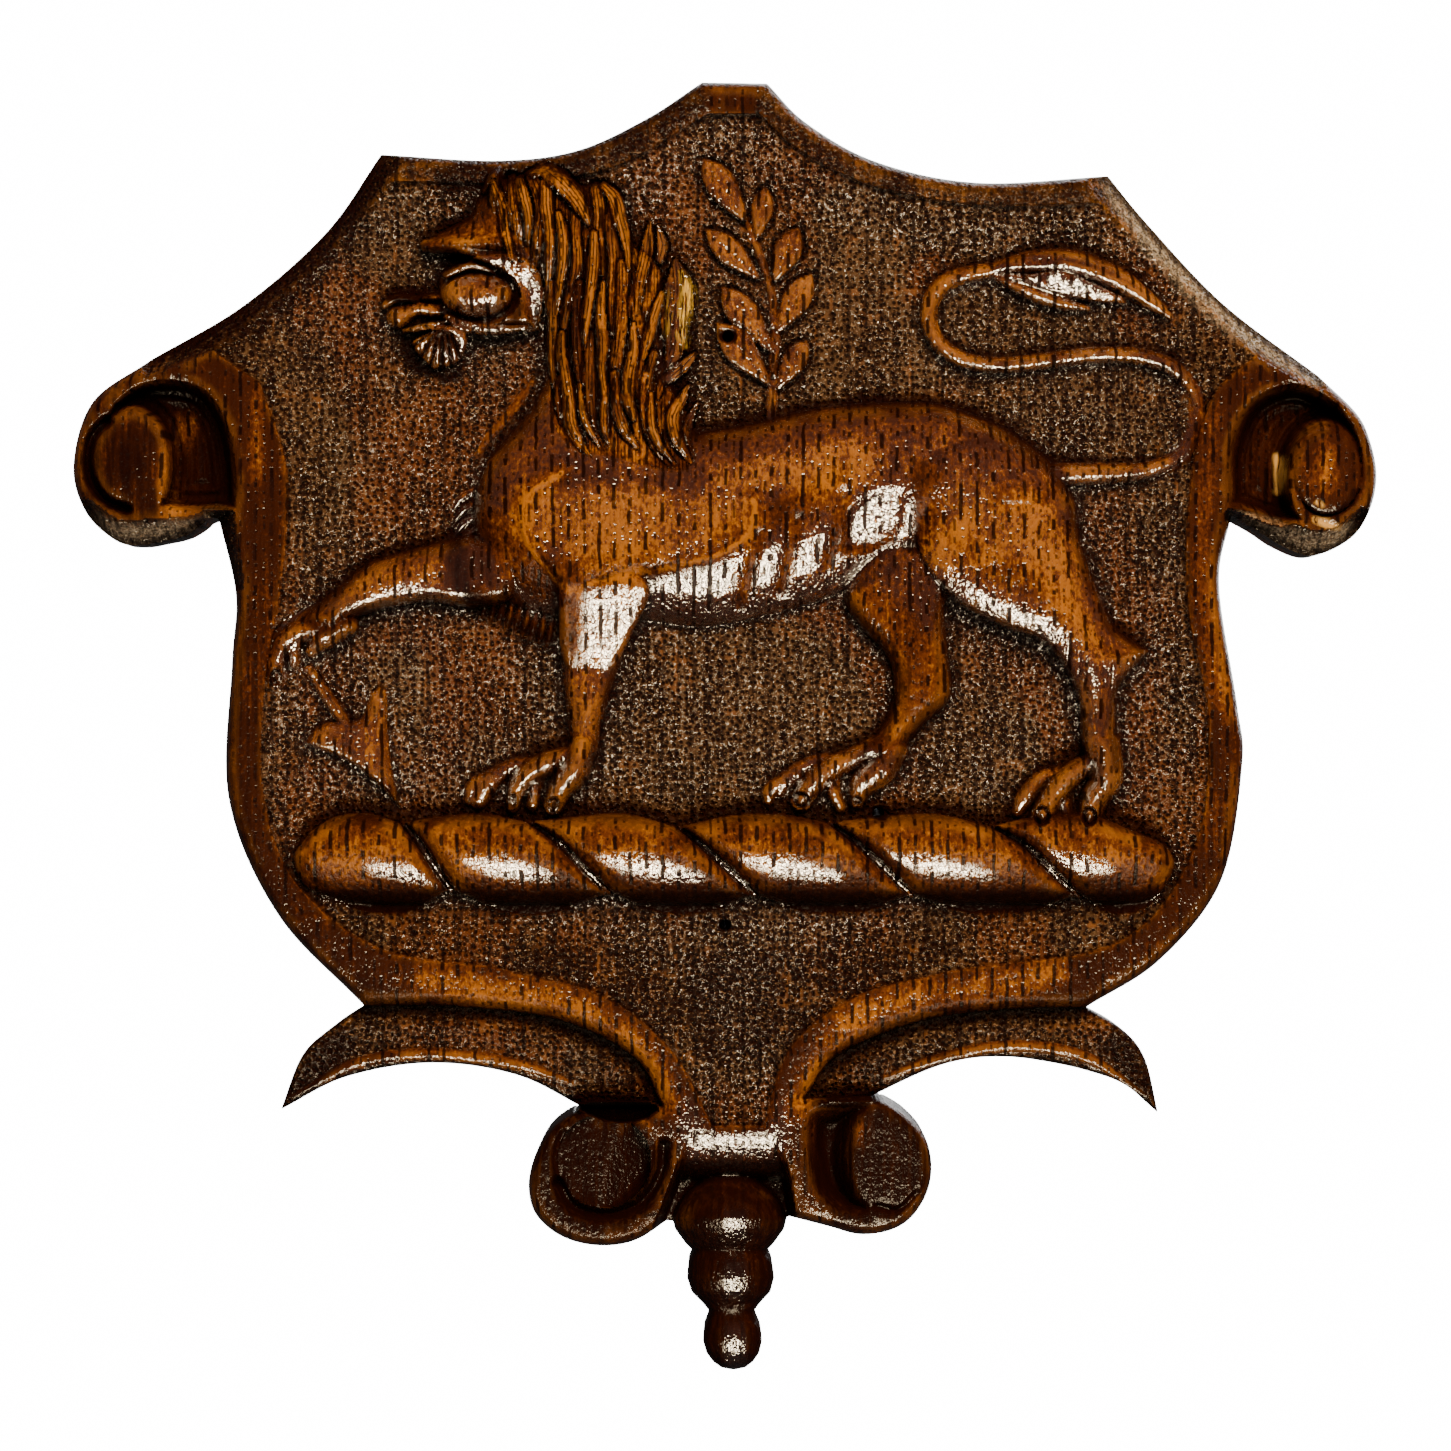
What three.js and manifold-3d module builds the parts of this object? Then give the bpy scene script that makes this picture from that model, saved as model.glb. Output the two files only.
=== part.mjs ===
// Carved oak coat of arms: a scrolled shield plaque with a lion passant over a twisted torse.
// Millimetres, +Z up. The back is flat in the plane y = 0 and the carved front faces -Y.
// The carving is drawn in a flat pattern: x to the right, y up, z out of the wall.
import * as THREE from 'three';
import { mergeVertices } from 'three/addons/utils/BufferGeometryUtils.js';
import Module from 'manifold-3d';

const wasm = await Module();
wasm.setup();

// Driving dimensions of the board
const WIDTH = 261;              // over the two upper volutes
const HEIGHT = 258;             // from the top edge to the tip of the drop
const RIM_THICKNESS = 16;       // back to the flat of the rim
const FIELD_DEPTH = 4;          // field below the rim
const EDGE_BEVEL = 1.8;         // worn bevel round the outline, measured inwards
const EDGE_BEVEL_HEIGHT = 5;    // the same bevel, measured in thickness
const UPPER_RECESS_DEPTH = 9;   // hollows of the upper volutes below the rim
const LOWER_RECESS_DEPTH = 7;   // hollows of the lower volutes below the rim
const EYE_RISE = 1.1;           // upper right eye above the rim
const HORN_DEPTH = 4.5;         // stippled face of the horns below the rim
const RIDGE_WIDTH = 2.3;        // smooth ridge under each horn
const RIDGE_HEIGHT = 1.2;       // ridge above the face of its horn
const NAIL_HOLE = 2.4;          // bore of the three nail holes

// Driving dimensions of the carving, as heights above the field
const BODY_RELIEF = 9;
const SHOULDER_RELIEF = 10.1;
const HAUNCH_RELIEF = 9.7;
const MANE_RELIEF = 10;
const HEAD_RELIEF = 8;
const NEAR_LEG_RELIEF = 8;
const FAR_LEG_RELIEF = 5.5;
const TAIL_RELIEF = 4;
const TUFT_RELIEF = 5;
const SPRIG_RELIEF = 2;
const ARROW_RELIEF = 3;
const TORSE_RELIEF = 8.4;
const MANE_LOCKS = 8;

// Driving dimensions of the drop
const DROP_RADIUS = 13;         // profile unit: the cup is a little narrower
const DROP_RELIEF = 15;         // front of the drop above the back
const DROP_AXIS_HEIGHT = 6;     // axis of the turning above the back
const CUP_FLOOR = 6;            // board left behind the cup of the drop

const FIELD = RIM_THICKNESS - FIELD_DEPTH;
const HORN = RIM_THICKNESS - HORN_DEPTH;

// The pattern is drawn at this size and stretched to the width and height above
const PATTERN = { width: 261, height: 258 };
const across = (x) => (x * WIDTH) / PATTERN.width;
const up = (y) => (y * HEIGHT) / PATTERN.height;

const FINE_STEPS = 2;           // straight steps between two points of an open curve
const DENSE_STEPS = 1;          // the same where the points lie close together
const BACK_CUT = 60;            // reach of the block that trims the back flat
const CLEAR = 1;                // overlap of a cutter past the face that it opens

// An outline is a list of smooth runs. Each run goes on from the end of the last one, and a run of a
// single point is a straight line.
const OUTLINE = [
  [[-46, 112.6], [-30, 114.6], [-16, 121], [-5, 128.2]],
  [[8, 128]],
  [[16, 120], [30, 112.3], [50, 108.2], [76, 109.5]],
  [[84, 99.8], [99, 84], [118, 69.6]],
  [[125.6, 62.2], [129.6, 53], [129.4, 45.6], [124.4, 37.2], [117, 33.8], [110.6, 35.8], [100.6, 41.8]],
  [[98.2, 28], [101.8, 4], [102.8, -8], [98.6, -31], [86.4, -46.8], [71.8, -56.2]],
  [[54, -56.8], [38, -59.2], [22, -66], [15.4, -74.4]],
  [[28.4, -74]],
  [[36.5, -78.4], [40.8, -87.6], [37, -98], [26.4, -101.6], [12.4, -98]],
  [[0.4, -100], [-12, -98.8]],
  [[-17.4, -102.4], [-29, -103.4], [-38.4, -97.2], [-38.6, -86.6], [-32.6, -78.4], [-28.5, -76.4]],
  [[-13, -76]],
  [[-18.6, -66.2], [-34, -58.6], [-55, -56], [-72.4, -56]],
  [[-89.6, -37.8], [-99.4, -14.8], [-98.8, 12], [-98, 26], [-101.4, 41.2]],
  [[-103.4, 41.4]],
  [[-108.6, 37.6], [-117.4, 35.9], [-124.6, 38.6], [-129.6, 46.4], [-130.4, 52], [-126.5, 64.5],
    [-115, 72.8]],
  [[-96.6, 83.6], [-80, 98.2], [-69, 113.8]],
];

// The two horns curl out from under the rim. Their last run is hidden in the board.
const HORNS = [
  [
    [[-42, -69.8], [-59, -67.4], [-76, -70.2], [-89, -76.7]],
    [[-84.8, -66], [-79, -60.4], [-72.4, -56]],
    [[-56, -50], [-28, -56], [-12, -77], [-28.5, -76.4]],
  ],
  [
    [[79, -60.8], [83.4, -66.6], [86, -77.4]],
    [[79.4, -71.8], [72, -69], [56, -66.2], [40, -68.8], [28.4, -74.2]],
    [[14.4, -75.6], [30, -57], [56, -51], [71.6, -56.4]],
  ],
];

const RIDGES = [
  [[-31, -71.5], [-42, -67.9], [-58, -65.8], [-73, -67.4], [-86, -73.8]],
  [[31, -70.6], [42, -66.9], [56, -64.2], [71, -66.2], [83.6, -74]],
];

// The sunk field: inside the rim, and out over the two upper diagonals, which have no rim
const FIELD_OUTLINE = [
  [[-58, 108.5], [-40, 108.6], [-22, 111.8], [-4, 122.2]],
  [[6.5, 122.2]],
  [[16, 114], [32, 107], [54, 103.8], [82, 104.8]],
  [[96, 98], [116, 80]],
  [[107, 74.6]],
  [[97, 65], [92.5, 46], [92.2, 24], [96.4, 0], [93.4, -25], [78, -43.6], [44.5, -49.4]],
  [[26, -54.4], [13, -64.4], [7.6, -80.4]],
  [[-3.2, -80.4]],
  [[-11.2, -65.4], [-25, -54.4], [-46, -48.8]],
  [[-69, -45], [-86, -32], [-92.8, -14], [-92.6, 8], [-89.6, 26], [-88, 50], [-93.4, 68]],
  [[-105, 76]],
  [[-100, 92], [-84, 109]],
];

// Hollows that are cut down beside the eyes of the volutes
const RECESSES = [
  {
    depth: UPPER_RECESS_DEPTH,
    outline: [
      [[-123, 63.5], [-117.6, 68], [-111, 69], [-104, 67], [-99.4, 60], [-97.6, 50], [-97.6, 42.8]],
      [[-108, 42.6], [-113.6, 43.4]],
      [[-112, 53], [-113.4, 59], [-117.6, 62.4], [-124.6, 58.6]],
    ],
  },
  {
    depth: UPPER_RECESS_DEPTH,
    outline: [
      [[99.6, 55], [104, 64.5], [113, 68.4], [121.6, 64.6], [126.2, 57.6], [126.4, 47]],
      [[124.8, 56], [121.6, 59], [117.4, 58.8], [114, 55.2], [112.6, 49.6], [115.4, 40.6]],
      [[110, 39.6], [104, 41.6], [99.6, 43.4]],
    ],
  },
  {
    depth: LOWER_RECESS_DEPTH,
    outline: [[[-31, -75.8], [-24, -79.6], [-17, -79.4], [-13.6, -77.4]], [[-14, -75.4], [-22, -75]]],
  },
  {
    depth: LOWER_RECESS_DEPTH,
    outline: [
      [[25.4, -86], [26.6, -92.6], [29, -96.6], [26, -98.2], [21, -97], [17, -93], [15.2, -86], [15.2, -79],
        [18, -75.8], [24, -75], [29.6, -75.4], [27, -78.6]],
    ],
  },
];

// Round-bottomed grooves that wind about the eyes: [x, y, half width] along each line, then the depth
const COILS = [
  {
    line: [[-123, 61.4, 1.4], [-127, 56, 1.7], [-127.2, 50, 1.7], [-124, 44.8, 1.7], [-118, 42.8, 1.4]],
    depth: 4,
  },
  { line: [[126, 48, 1.2], [123.2, 43.8, 1.3], [118.6, 42.4, 1.3], [115, 44.4, 1.2]], depth: 2.6 },
  {
    line: [[-13.4, -82, 1.8], [-14, -91, 2.2], [-20, -96.8, 2.2], [-28, -97, 2.2], [-33.4, -91.4, 1.8]],
    depth: 3.4,
  },
  { line: [[-33, -94, 1.4], [-34.6, -86, 1.2], [-32, -80, 1]], depth: 1.8 },
  { line: [[28, -95.4, 1.1], [34.4, -96.6, 1.1], [39, -91.6, 1]], depth: 1.6 },
];

const RAISED_EYE = { x: 119.8, y: 50.4, half: [6.8, 8.4] };

// Under the collar the board is cut down to let the cup of the drop stand out
const CUP_RECESS = [
  [[-5, -85.6], [6, -85.6], [13, -88]],
  [[15.6, -99.4]],
  [[12.4, -104], [-12, -104], [-15, -100.4]],
  [[-11, -88]],
];

// The drop in section: shares of its radius, and heights
const DROP_AXIS_X = 0.5;
const DROP_PROFILE = [
  [0, -85], [0.5, -90], [0.78, -95], [0.88, -99.4], [0.8, -102.6], [0.57, -105.8], [0.66, -108.8],
  [0.66, -112.4],
  [0.36, -117.8], [0.44, -121.6], [0.45, -124.6], [0.36, -127.6], [0.18, -129.4], [0, -129.8],
];

const NAIL_HOLES = [[0.2, 77.6], [-0.4, -40], [30.2, -17.6]];

// The torse: the grooves between its lobes run from the top edge down to the right
const TORSE_GROOVES = [
  [[-84.6, -22], [-79.6, -34]],
  [[-68, -20.6], [-55.4, -33.6]],
  [[-43, -20.8], [-26.6, -34.2]],
  [[-12.6, -20.6], [4, -34.4]],
  [[17, -20.2], [37, -34.4]],
  [[52.6, -20.8], [69.6, -33.8]],
  [[83, -22], [88.6, -31]],
];
const TORSE_TOP = -17.8;
const TORSE_BOTTOM = -37.2;
const LOBE = { half: [19.4, 11.8], tilt: -6 };
const LOBE_LAP = 0.5;           // each lobe runs on into the next one by this much

// The sprig: a curved stem with leaves in turn to the left and right. Each leaf is tip, base, half width
const STEM = [[8.6, 61.5, 0.9], [9.2, 70, 0.9], [9.6, 80, 0.9], [8.4, 88, 0.9], [6, 95, 0.9],
[4.6, 101, 0.9]];
const LEAVES = [
  [[-4.8, 113], [3.6, 100.6], 3.1],
  [[7.8, 107.4], [6, 97], 2.4],
  [[-4.4, 98.8], [6.4, 89], 2.8],
  [[14.2, 99.2], [9.4, 88.6], 3],
  [[-1.2, 87.4], [9, 74.6], 3.3],
  [[17, 90], [10, 78.4], 3],
  [[-2.2, 80.4], [8.4, 68], 3.2],
  [[16, 76.8], [10, 67], 2.6],
];
const LEAF_END = 0.28;          // half width at the ends of a leaf, as a share of its middle

// The lion's parts: each is a few rounded masses, trimmed to the outline that is carved
const BODY = {
  outline: [
    [[-39.4, 63], [-44.4, 57], [-48.4, 52], [-50.6, 45], [-50.8, 39], [-49.8, 33], [-47.4, 28], [-43.4, 24],
      [-35, 21.4]],
    [[-26, 20], [-16.4, 20.6], [-5.4, 19.4], [4.6, 21], [14.6, 23.4], [24.6, 27], [34.6, 31], [42, 33]],
    [[56, 30], [68, 40], [69, 46], [64.6, 52.6], [56.6, 58.6], [50.6, 61.4], [42.6, 64], [34.6, 64.4],
      [24.6, 64], [14.6, 62.6], [4.6, 60.2], [-6, 58.4]],
    [[-10, 66], [-14, 78], [-24, 84], [-34, 80], [-36.4, 69]],
  ],
  rolls: [
    {
      line: [[-28, 84, 10], [-26, 68, 15.6], [-28, 56, 20], [-30, 42, 21]],
      rise: HEAD_RELIEF, rings: 8, sides: 12,
    },
    {
      line: [[-40, 41, 20], [-12, 40, 23], [14, 43.2, 22.6], [40, 47, 21], [74, 44, 16]],
      rise: BODY_RELIEF, rings: 10, sides: 14,
    },
  ],
  balls: [
    { at: [-31, 40.6], half: [22, 22.6], rise: BODY_RELIEF },
    { at: [-23, 40.4], half: [20, 13.6], rise: SHOULDER_RELIEF, tilt: -8 },
  ],
};
const NEAR_HIND = {
  outline: [
    [[37.2, 36.6], [40, 30.2], [46.4, 23.8], [55.6, 19.2], [62.8, 16.4], [67.4, 10.8], [69.8, 4.4],
      [70.4, -3], [72.4, -8], [78, -9], [77.8, -3], [78, 5], [78.8, 8], [81.6, 11.4]],
    [[84.4, 14.8]],
    [[80.6, 17], [77.2, 20], [74.6, 26], [72.2, 32], [70.2, 39], [69, 46], [62, 54], [50, 57], [40, 53],
      [36.2, 45.8]],
  ],
  rolls: [
    {
      line: [[55, 36, 15], [63, 25, 12], [71.6, 15, 7.6], [74, 6, 6], [75, -16, 5]],
      rise: NEAR_LEG_RELIEF, rings: 8,
    },
    { line: [[72, 16, 5], [79, 14.8, 4.4], [88, 14.8, 3]], rise: FAR_LEG_RELIEF, sides: 8 },
  ],
  balls: [{ at: [53, 40.4], half: [20, 22], rise: HAUNCH_RELIEF, tilt: 16 }],
};
const FAR_HIND = {
  outline: [
    [[23.4, 26.4], [26.2, 20], [31.2, 14.6], [33.2, 9], [32.2, 2.6], [29, -3], [26, -7], [33.4, -8],
      [35.4, -4.8], [39, -0.2], [44.6, 5.4], [44.2, 13.6], [43.6, 22.8], [46, 34], [30, 38]],
  ],
  rolls: [{
    line: [[35, 42, 12], [35.4, 24, 12], [39, 10, 8], [36, 0, 6], [29, -12, 5]],
    rise: FAR_LEG_RELIEF,
  }],
  balls: [],
};
const NEAR_FORE = {
  outline: [
    [[-33.4, 21], [-33.2, 13], [-32.4, 5], [-31.6, -2], [-31.6, -7], [-26.4, -7], [-25, -1], [-23, 7],
      [-20.4, 14], [-17.4, 21], [-14, 30], [-16, 44], [-26, 50], [-36, 46], [-37, 34]],
  ],
  rolls: [
    {
      line: [[-25.4, 46, 12], [-25.2, 24, 11.4], [-27.4, 10, 7], [-28.6, 1, 5], [-29, -12, 4.6]],
      rise: BODY_RELIEF,
    },
  ],
  balls: [],
};
const RAISED_FORE = {
  outline: [
    [[-59.4, 36], [-65.4, 34.4], [-71.4, 32.4], [-77.4, 27.6], [-81.4, 24.6], [-84, 21], [-80, 18],
      [-77.8, 18.4], [-75.4, 20.6], [-70.4, 22.6], [-65.4, 23.6], [-59.4, 24.4], [-50, 23.4], [-42, 26], [-42, 36],
      [-52, 38]],
  ],
  rolls: [{
    line: [[-36, 31, 10], [-58, 30.4, 9], [-72, 27, 7.4], [-82, 20, 5.6], [-90, 12, 4]],
    rise: NEAR_LEG_RELIEF,
  }],
  balls: [],
};
const FACE = {
  outline: [
    [[-58.4, 97.6], [-54, 99.9], [-51.2, 101.8], [-50.2, 105], [-49, 108]],
    [[-44, 109], [-38, 104], [-36.4, 92], [-38, 79]],
    [[-44, 79], [-50, 78.4], [-54, 80], [-56.6, 82.4]],
    [[-57.6, 86], [-57, 90], [-52, 92]],
    [[-47, 93], [-52, 94.2], [-60.4, 94.4], [-60.8, 95.6]],
  ],
  rolls: [
    { line: [[-64, 95.6, 3], [-56, 96.4, 4.6], [-48, 98, 7], [-38, 101, 9]], rise: HEAD_RELIEF, sides: 10 },
    { line: [[-52, 92, 10], [-44, 86, 12], [-38, 78, 10]], rise: FAR_LEG_RELIEF, sides: 10 },
  ],
  balls: [],
};

// Round forms on their own: [x, y, half width] along each line, then the relief
const TOES = [
  { line: [[-40, -7.4, 1.2], [-43.6, -8.6, 1.6], [-48, -12, 2.4], [-50, -16, 1.6]], rise: 3.4 },
  { line: [[-36, -7, 1.2], [-38, -12, 1.5], [-38.8, -17, 1.3]], rise: 3.6 },
  { line: [[-29, -4, 1.6], [-35.6, -7.6, 2.6], [-40.6, -10.4, 2.8], [-43, -17.4, 1.4]], rise: 6.4 },
  { line: [[-28.6, -1, 3], [-30.4, -9, 3.4], [-33, -12.4, 2.9], [-35, -18.4, 1.8]], rise: 8.2 },
  { line: [[20, -6.4, 1], [16, -8, 1.6], [11.6, -11.4, 2], [10, -15, 1.2]], rise: 2.8 },
  { line: [[34, -2, 2.4], [25, -6.8, 2.5], [19, -9.8, 2.9], [14.2, -17, 2]], rise: 5.2 },
  { line: [[22, -8, 1.2], [21.2, -13, 1.6], [22.8, -17, 1.2]], rise: 3.2 },
  { line: [[34, -2, 3], [31, -9, 3.5], [27, -12, 3], [25.6, -16.6, 1.6]], rise: 6 },
  { line: [[67, -8.6, 1.2], [62.4, -11, 1.8], [59.4, -14.6, 2], [57.6, -18, 1.3]], rise: 3.8 },
  { line: [[67.8, -12, 1.4], [67.4, -19, 1.5]], rise: 3.6 },
  { line: [[74, -4, 2], [69, -9.8, 2.7], [65.6, -13.4, 2.8], [62.4, -20.4, 2.3]], rise: 7 },
  { line: [[75, 0, 3.6], [75.6, -10.6, 3.6], [73.4, -14.6, 3], [72.2, -20.6, 2.2]], rise: 8.2 },
  { line: [[-80, 21.4, 2.4], [-88, 18.6, 2], [-93, 12.4, 1.2], [-93.2, 8, 0.8]], rise: 3.4 },
  { line: [[-78, 20.6, 3], [-87, 17.6, 2.7], [-90, 13, 2.3], [-89.8, 7.6, 1.6]], rise: 5.8 },
  { line: [[-80, 21, 2.4], [-86, 16.6, 1.9], [-86.4, 10.6, 1.4]], rise: 5.4 },
  { line: [[-74, 21, 2.6], [-80.6, 17.6, 3], [-83.2, 13.4, 1.6]], rise: 6 },
];
const HEAD_FORMS = [
  { line: [[-61, 95.4, 1.3], [-56, 95.9, 2], [-50, 96.2, 2.7], [-42, 96.8, 3.2]], rise: 9.2 },
  {
    line: [[-53, 92.2, 0.9], [-46, 92.6, 1.5], [-40, 91, 2.1], [-38, 86, 2.1], [-39.4, 78.4, 1.2]],
    rise: 8.6,
  },
  { line: [[-56.6, 81.8, 0.9], [-53, 79.4, 1.3], [-47, 78.6, 1.2], [-38.6, 79, 0.9]], rise: 6.6 },
  { line: [[-51.6, 80, 2], [-55.6, 76.4, 3.6], [-60, 74.2, 3.2], [-63.4, 74.4, 1.4]], rise: 5.6 },
  { line: [[-52, 82.8, 1.2], [-58, 82.6, 1.6], [-63, 83, 1.8], [-68, 80.6, 2.2]], rise: 4.8 },
  { line: [[-56.6, 85.3, 0.7], [-63, 85.1, 1], [-68.8, 83.4, 0.9]], rise: 4.4 },
  { line: [[-45.4, 112, 0.8], [-46.8, 106, 1.9], [-45.4, 99, 1]], rise: 9.6 },
];
const CHEEK = { at: [-49.8, 85.8], half: [6.6, 4.7], rise: 9.6, tilt: -6 };
const HAIR_FORMS = [
  { line: [[-41.6, 109.6, 1.2], [-36, 110.4, 1.9], [-31.6, 107, 2.2], [-26.8, 98.6, 1.2]], rise: 9.8 },
  { line: [[-25.6, 108, 1], [-22.2, 104, 1.7], [-20.6, 97, 1.5], [-19, 89, 0.8]], rise: 9 },
  { line: [[-14, 100.6, 0.8], [-15.8, 95, 1.6], [-17, 88, 1.6], [-18, 81, 0.8]], rise: 7.4 },
  {
    line: [[-10.2, 93.4, 0.8], [-9.6, 87, 2.8], [-10.4, 79, 2.8], [-12.4, 70, 1.4], [-13.8, 64, 0.8]],
    rise: 7,
  },
  { line: [[-6.2, 75, 0.8], [-10, 70.4, 1.4], [-14, 67, 1]], rise: 6 },
  { line: [[-7.4, 68.6, 0.7], [-10.6, 62, 1.7], [-9.8, 56.4, 1.5], [-6.6, 51.6, 0.8]], rise: 6.4 },
  { line: [[-38, 69.6, 0.6], [-43, 62.6, 1.1], [-50.4, 53.6, 0.7]], rise: 2.4 },
];

// The mane: wavy locks laid side by side between a front and a back edge, over a rounded bed
const MANE_OUTLINE = [
  [[-36.2, 69], [-35, 60], [-30, 54.6], [-22, 53], [-12, 50.4], [-7, 52], [-8, 62], [-13, 70], [-12, 80],
    [-14, 92], [-19.4, 96], [-21, 102], [-24, 107.6], [-29, 107.6], [-32, 110], [-38, 110.6], [-44, 109],
    [-46, 104], [-43, 98], [-40, 94], [-36.6, 88], [-36, 80]],
];
const MANE_FRONT = [[-47, 112], [-43, 98], [-36, 86], [-36, 74], [-34, 62], [-30, 51]];
const MANE_BACK = [[-20.6, 110], [-17.6, 96], [-12, 84], [-11.6, 74], [-11, 63], [-7.6, 49]];
const MANE_BED = { line: [[-35, 116, 13], [-28, 96, 14], [-24, 80, 15], [-22, 64, 15],
[-18, 46, 14]], rise: 8 };
const LOCK_HALF = 2.1;
const LOCK_WAVE = 0.8;
const LOCK_DIP = 1.4;           // every second lock lies lower, and the outer ones too

// The tail leaves the rump, turns back on itself and ends in a tuft
const TAIL_HALF = 1.7;
const TAIL = [
  [58, 48.6], [70, 50], [84.6, 51], [93.4, 58], [92.6, 67.6], [84, 73], [66.6, 73], [50, 71.8],
  [42, 76.4], [40.8, 84],
  [47, 89.6], [58, 91],
];
const TUFT = [
  {
    line: [[50, 90.4, 1.2], [60, 92, 2.7], [69, 92, 3.1], [78, 88.6, 2.7], [89, 80.8, 0.8]],
    rise: TUFT_RELIEF,
  },
  { line: [[54, 90, 1.4], [64, 87.6, 2.6], [72, 86.2, 2.4], [81, 84, 0.9]], rise: TAIL_RELIEF },
  { line: [[53, 89.4, 1.1], [61, 86.2, 1.9], [73.6, 82.4, 0.8]], rise: TAIL_RELIEF },
];

// A barbed arrow head on a short shaft under the raised paw
const ARROW_HEAD = [
  [[-83, -1.4], [-80, 0.6], [-75, 1], [-73, 1.6], [-71.4, 5.6], [-69.6, 7.7], [-67.8, 7]],
  [[-67.6, 0], [-67, -6], [-66, -12], [-64.6, -17.2]],
  [[-70, -12], [-76, -7.4], [-84.6, -4]],
];
const ARROW_SHAFT = { line: [[-84, 12, 1.3], [-79.4, 5, 1.5], [-75, -1.6, 1.4]], rise: ARROW_RELIEF };

function solid(geometry) {
  const bare = geometry.index ? geometry.clone() : geometry;
  bare.deleteAttribute('normal');
  bare.deleteAttribute('uv');
  const merged = mergeVertices(bare, 1e-5);
  const mesh = new wasm.Mesh({
    numProp: 3,
    vertProperties: new Float32Array(merged.attributes.position.array),
    triVerts: new Uint32Array(merged.index.array),
  });
  return new wasm.Manifold(mesh);
}

function shape(runs) {
  const [x, y] = runs.at(-1).at(-1);
  const path = new THREE.Shape();
  path.moveTo(across(x), up(y));
  for (const run of runs) {
    const points = run.map(([px, py]) => new THREE.Vector2(across(px), up(py)));
    if (points.length === 1) {
      path.lineTo(points[0].x, points[0].y);
    } else {
      path.splineThru(points);
    }
  }
  return path;
}

// A straight-sided plate between two heights
function plate(runs, low, high, steps = DENSE_STEPS) {
  const options = { depth: high - low, bevelEnabled: false, curveSegments: steps };
  return solid(new THREE.ExtrudeGeometry(shape(runs), options).translate(0, 0, low));
}

// The board with its worn bevel, which the extrusion makes on both faces: the back is trimmed later
function board() {
  const options = {
    depth: RIM_THICKNESS,
    bevelThickness: EDGE_BEVEL_HEIGHT,
    bevelSize: EDGE_BEVEL,
    bevelOffset: -EDGE_BEVEL,
    bevelSegments: 1,
    curveSegments: FINE_STEPS,
  };
  return solid(new THREE.ExtrudeGeometry(shape(OUTLINE), options).translate(0, 0, -EDGE_BEVEL_HEIGHT));
}

// A round boss with slightly leaning sides
function boss({ x, y, half }, top) {
  const SIDES = 20;
  const LEAN = 1.12;
  const geometry = new THREE.CylinderGeometry(1, LEAN, top, SIDES).rotateX(Math.PI / 2);
  geometry.scale(across(half[0]), up(half[1]), 1).translate(across(x), up(y), top / 2);
  return solid(geometry);
}

const POLE = 1 - 1e-6;          // where a unit sphere's own rings close to a point

// A bent, tapering, rounded form. line holds [x, y, half width] from end to end; its top stands rise
// above level, and a lower blunt makes the ends fuller.
function roll({ line, rise, level = FIELD, rings = 6, sides = 8, blunt = 0.4 }) {
  const curve = new THREE.CatmullRomCurve3(
    line.map(([x, y, half]) => new THREE.Vector3(across(x), up(y), half)), false, 'centripetal');
  const geometry = new THREE.SphereGeometry(1, sides, rings);
  geometry.deleteAttribute('normal');
  geometry.deleteAttribute('uv');
  const position = geometry.attributes.position;
  for (let i = 0; i < position.count; i += 1) {
    const polar = Math.acos(THREE.MathUtils.clamp(position.getY(i), -1, 1));
    const turn = Math.atan2(position.getZ(i), position.getX(i));
    const share = polar / Math.PI;
    const centre = curve.getPoint(share);
    const along = curve.getTangent(share);
    const side = new THREE.Vector2(-along.y, along.x).normalize();
    const swell = Math.abs(position.getY(i)) > POLE ? 0 : Math.sin(polar) ** blunt;
    const reach = centre.z * swell * Math.cos(turn);
    const height = level + rise * swell * Math.sin(turn);
    position.setXYZ(i, centre.x + side.x * reach, centre.y + side.y * reach, height);
  }
  return solid(geometry);
}

function ball({ at, half, rise, tilt = 0 }) {
  const SIDES = 14;
  const RINGS = 10;
  const geometry = new THREE.SphereGeometry(1, SIDES, RINGS).scale(half[0], half[1], rise);
  geometry.rotateZ(THREE.MathUtils.degToRad(tilt)).translate(across(at[0]), up(at[1]), FIELD);
  return solid(geometry);
}

const union = (forms) => forms.reduce((whole, form) => whole.add(form));

// Forms cut to an outline, so that their edge stands steep out of the field
function trimmed(outline, forms) {
  return union(forms).intersect(plate(outline, FIELD - CLEAR, FIELD + SHOULDER_RELIEF + CLEAR));
}

function carvedPart({ outline, rolls, balls }) {
  return trimmed(outline, [...rolls.map(roll), ...balls.map(ball)]);
}

// One lobe of the torse between two of its grooves
function lobe(left, right) {
  const [topLeft, footLeft] = left.map(([x, y]) => [x - LOBE_LAP, y]);
  const [topRight, footRight] = right.map(([x, y]) => [x + LOBE_LAP, y]);
  const third = (from, to) => from[0] + (to[0] - from[0]) / 3;
  const outline = [
    [[third(topLeft, topRight), TORSE_TOP], [third(topRight, topLeft), TORSE_TOP], topRight],
    [footRight],
    [[third(footRight, footLeft), TORSE_BOTTOM], [third(footLeft, footRight), TORSE_BOTTOM], footLeft],
    [topLeft],
  ];
  const at = [(topLeft[0] + footRight[0]) / 2, (topLeft[1] + footRight[1]) / 2];
  return trimmed(outline, [ball({ ...LOBE, at, rise: TORSE_RELIEF })]);
}

function torse() {
  return TORSE_GROOVES.slice(1).map((groove, i) => lobe(TORSE_GROOVES[i], groove));
}

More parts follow.
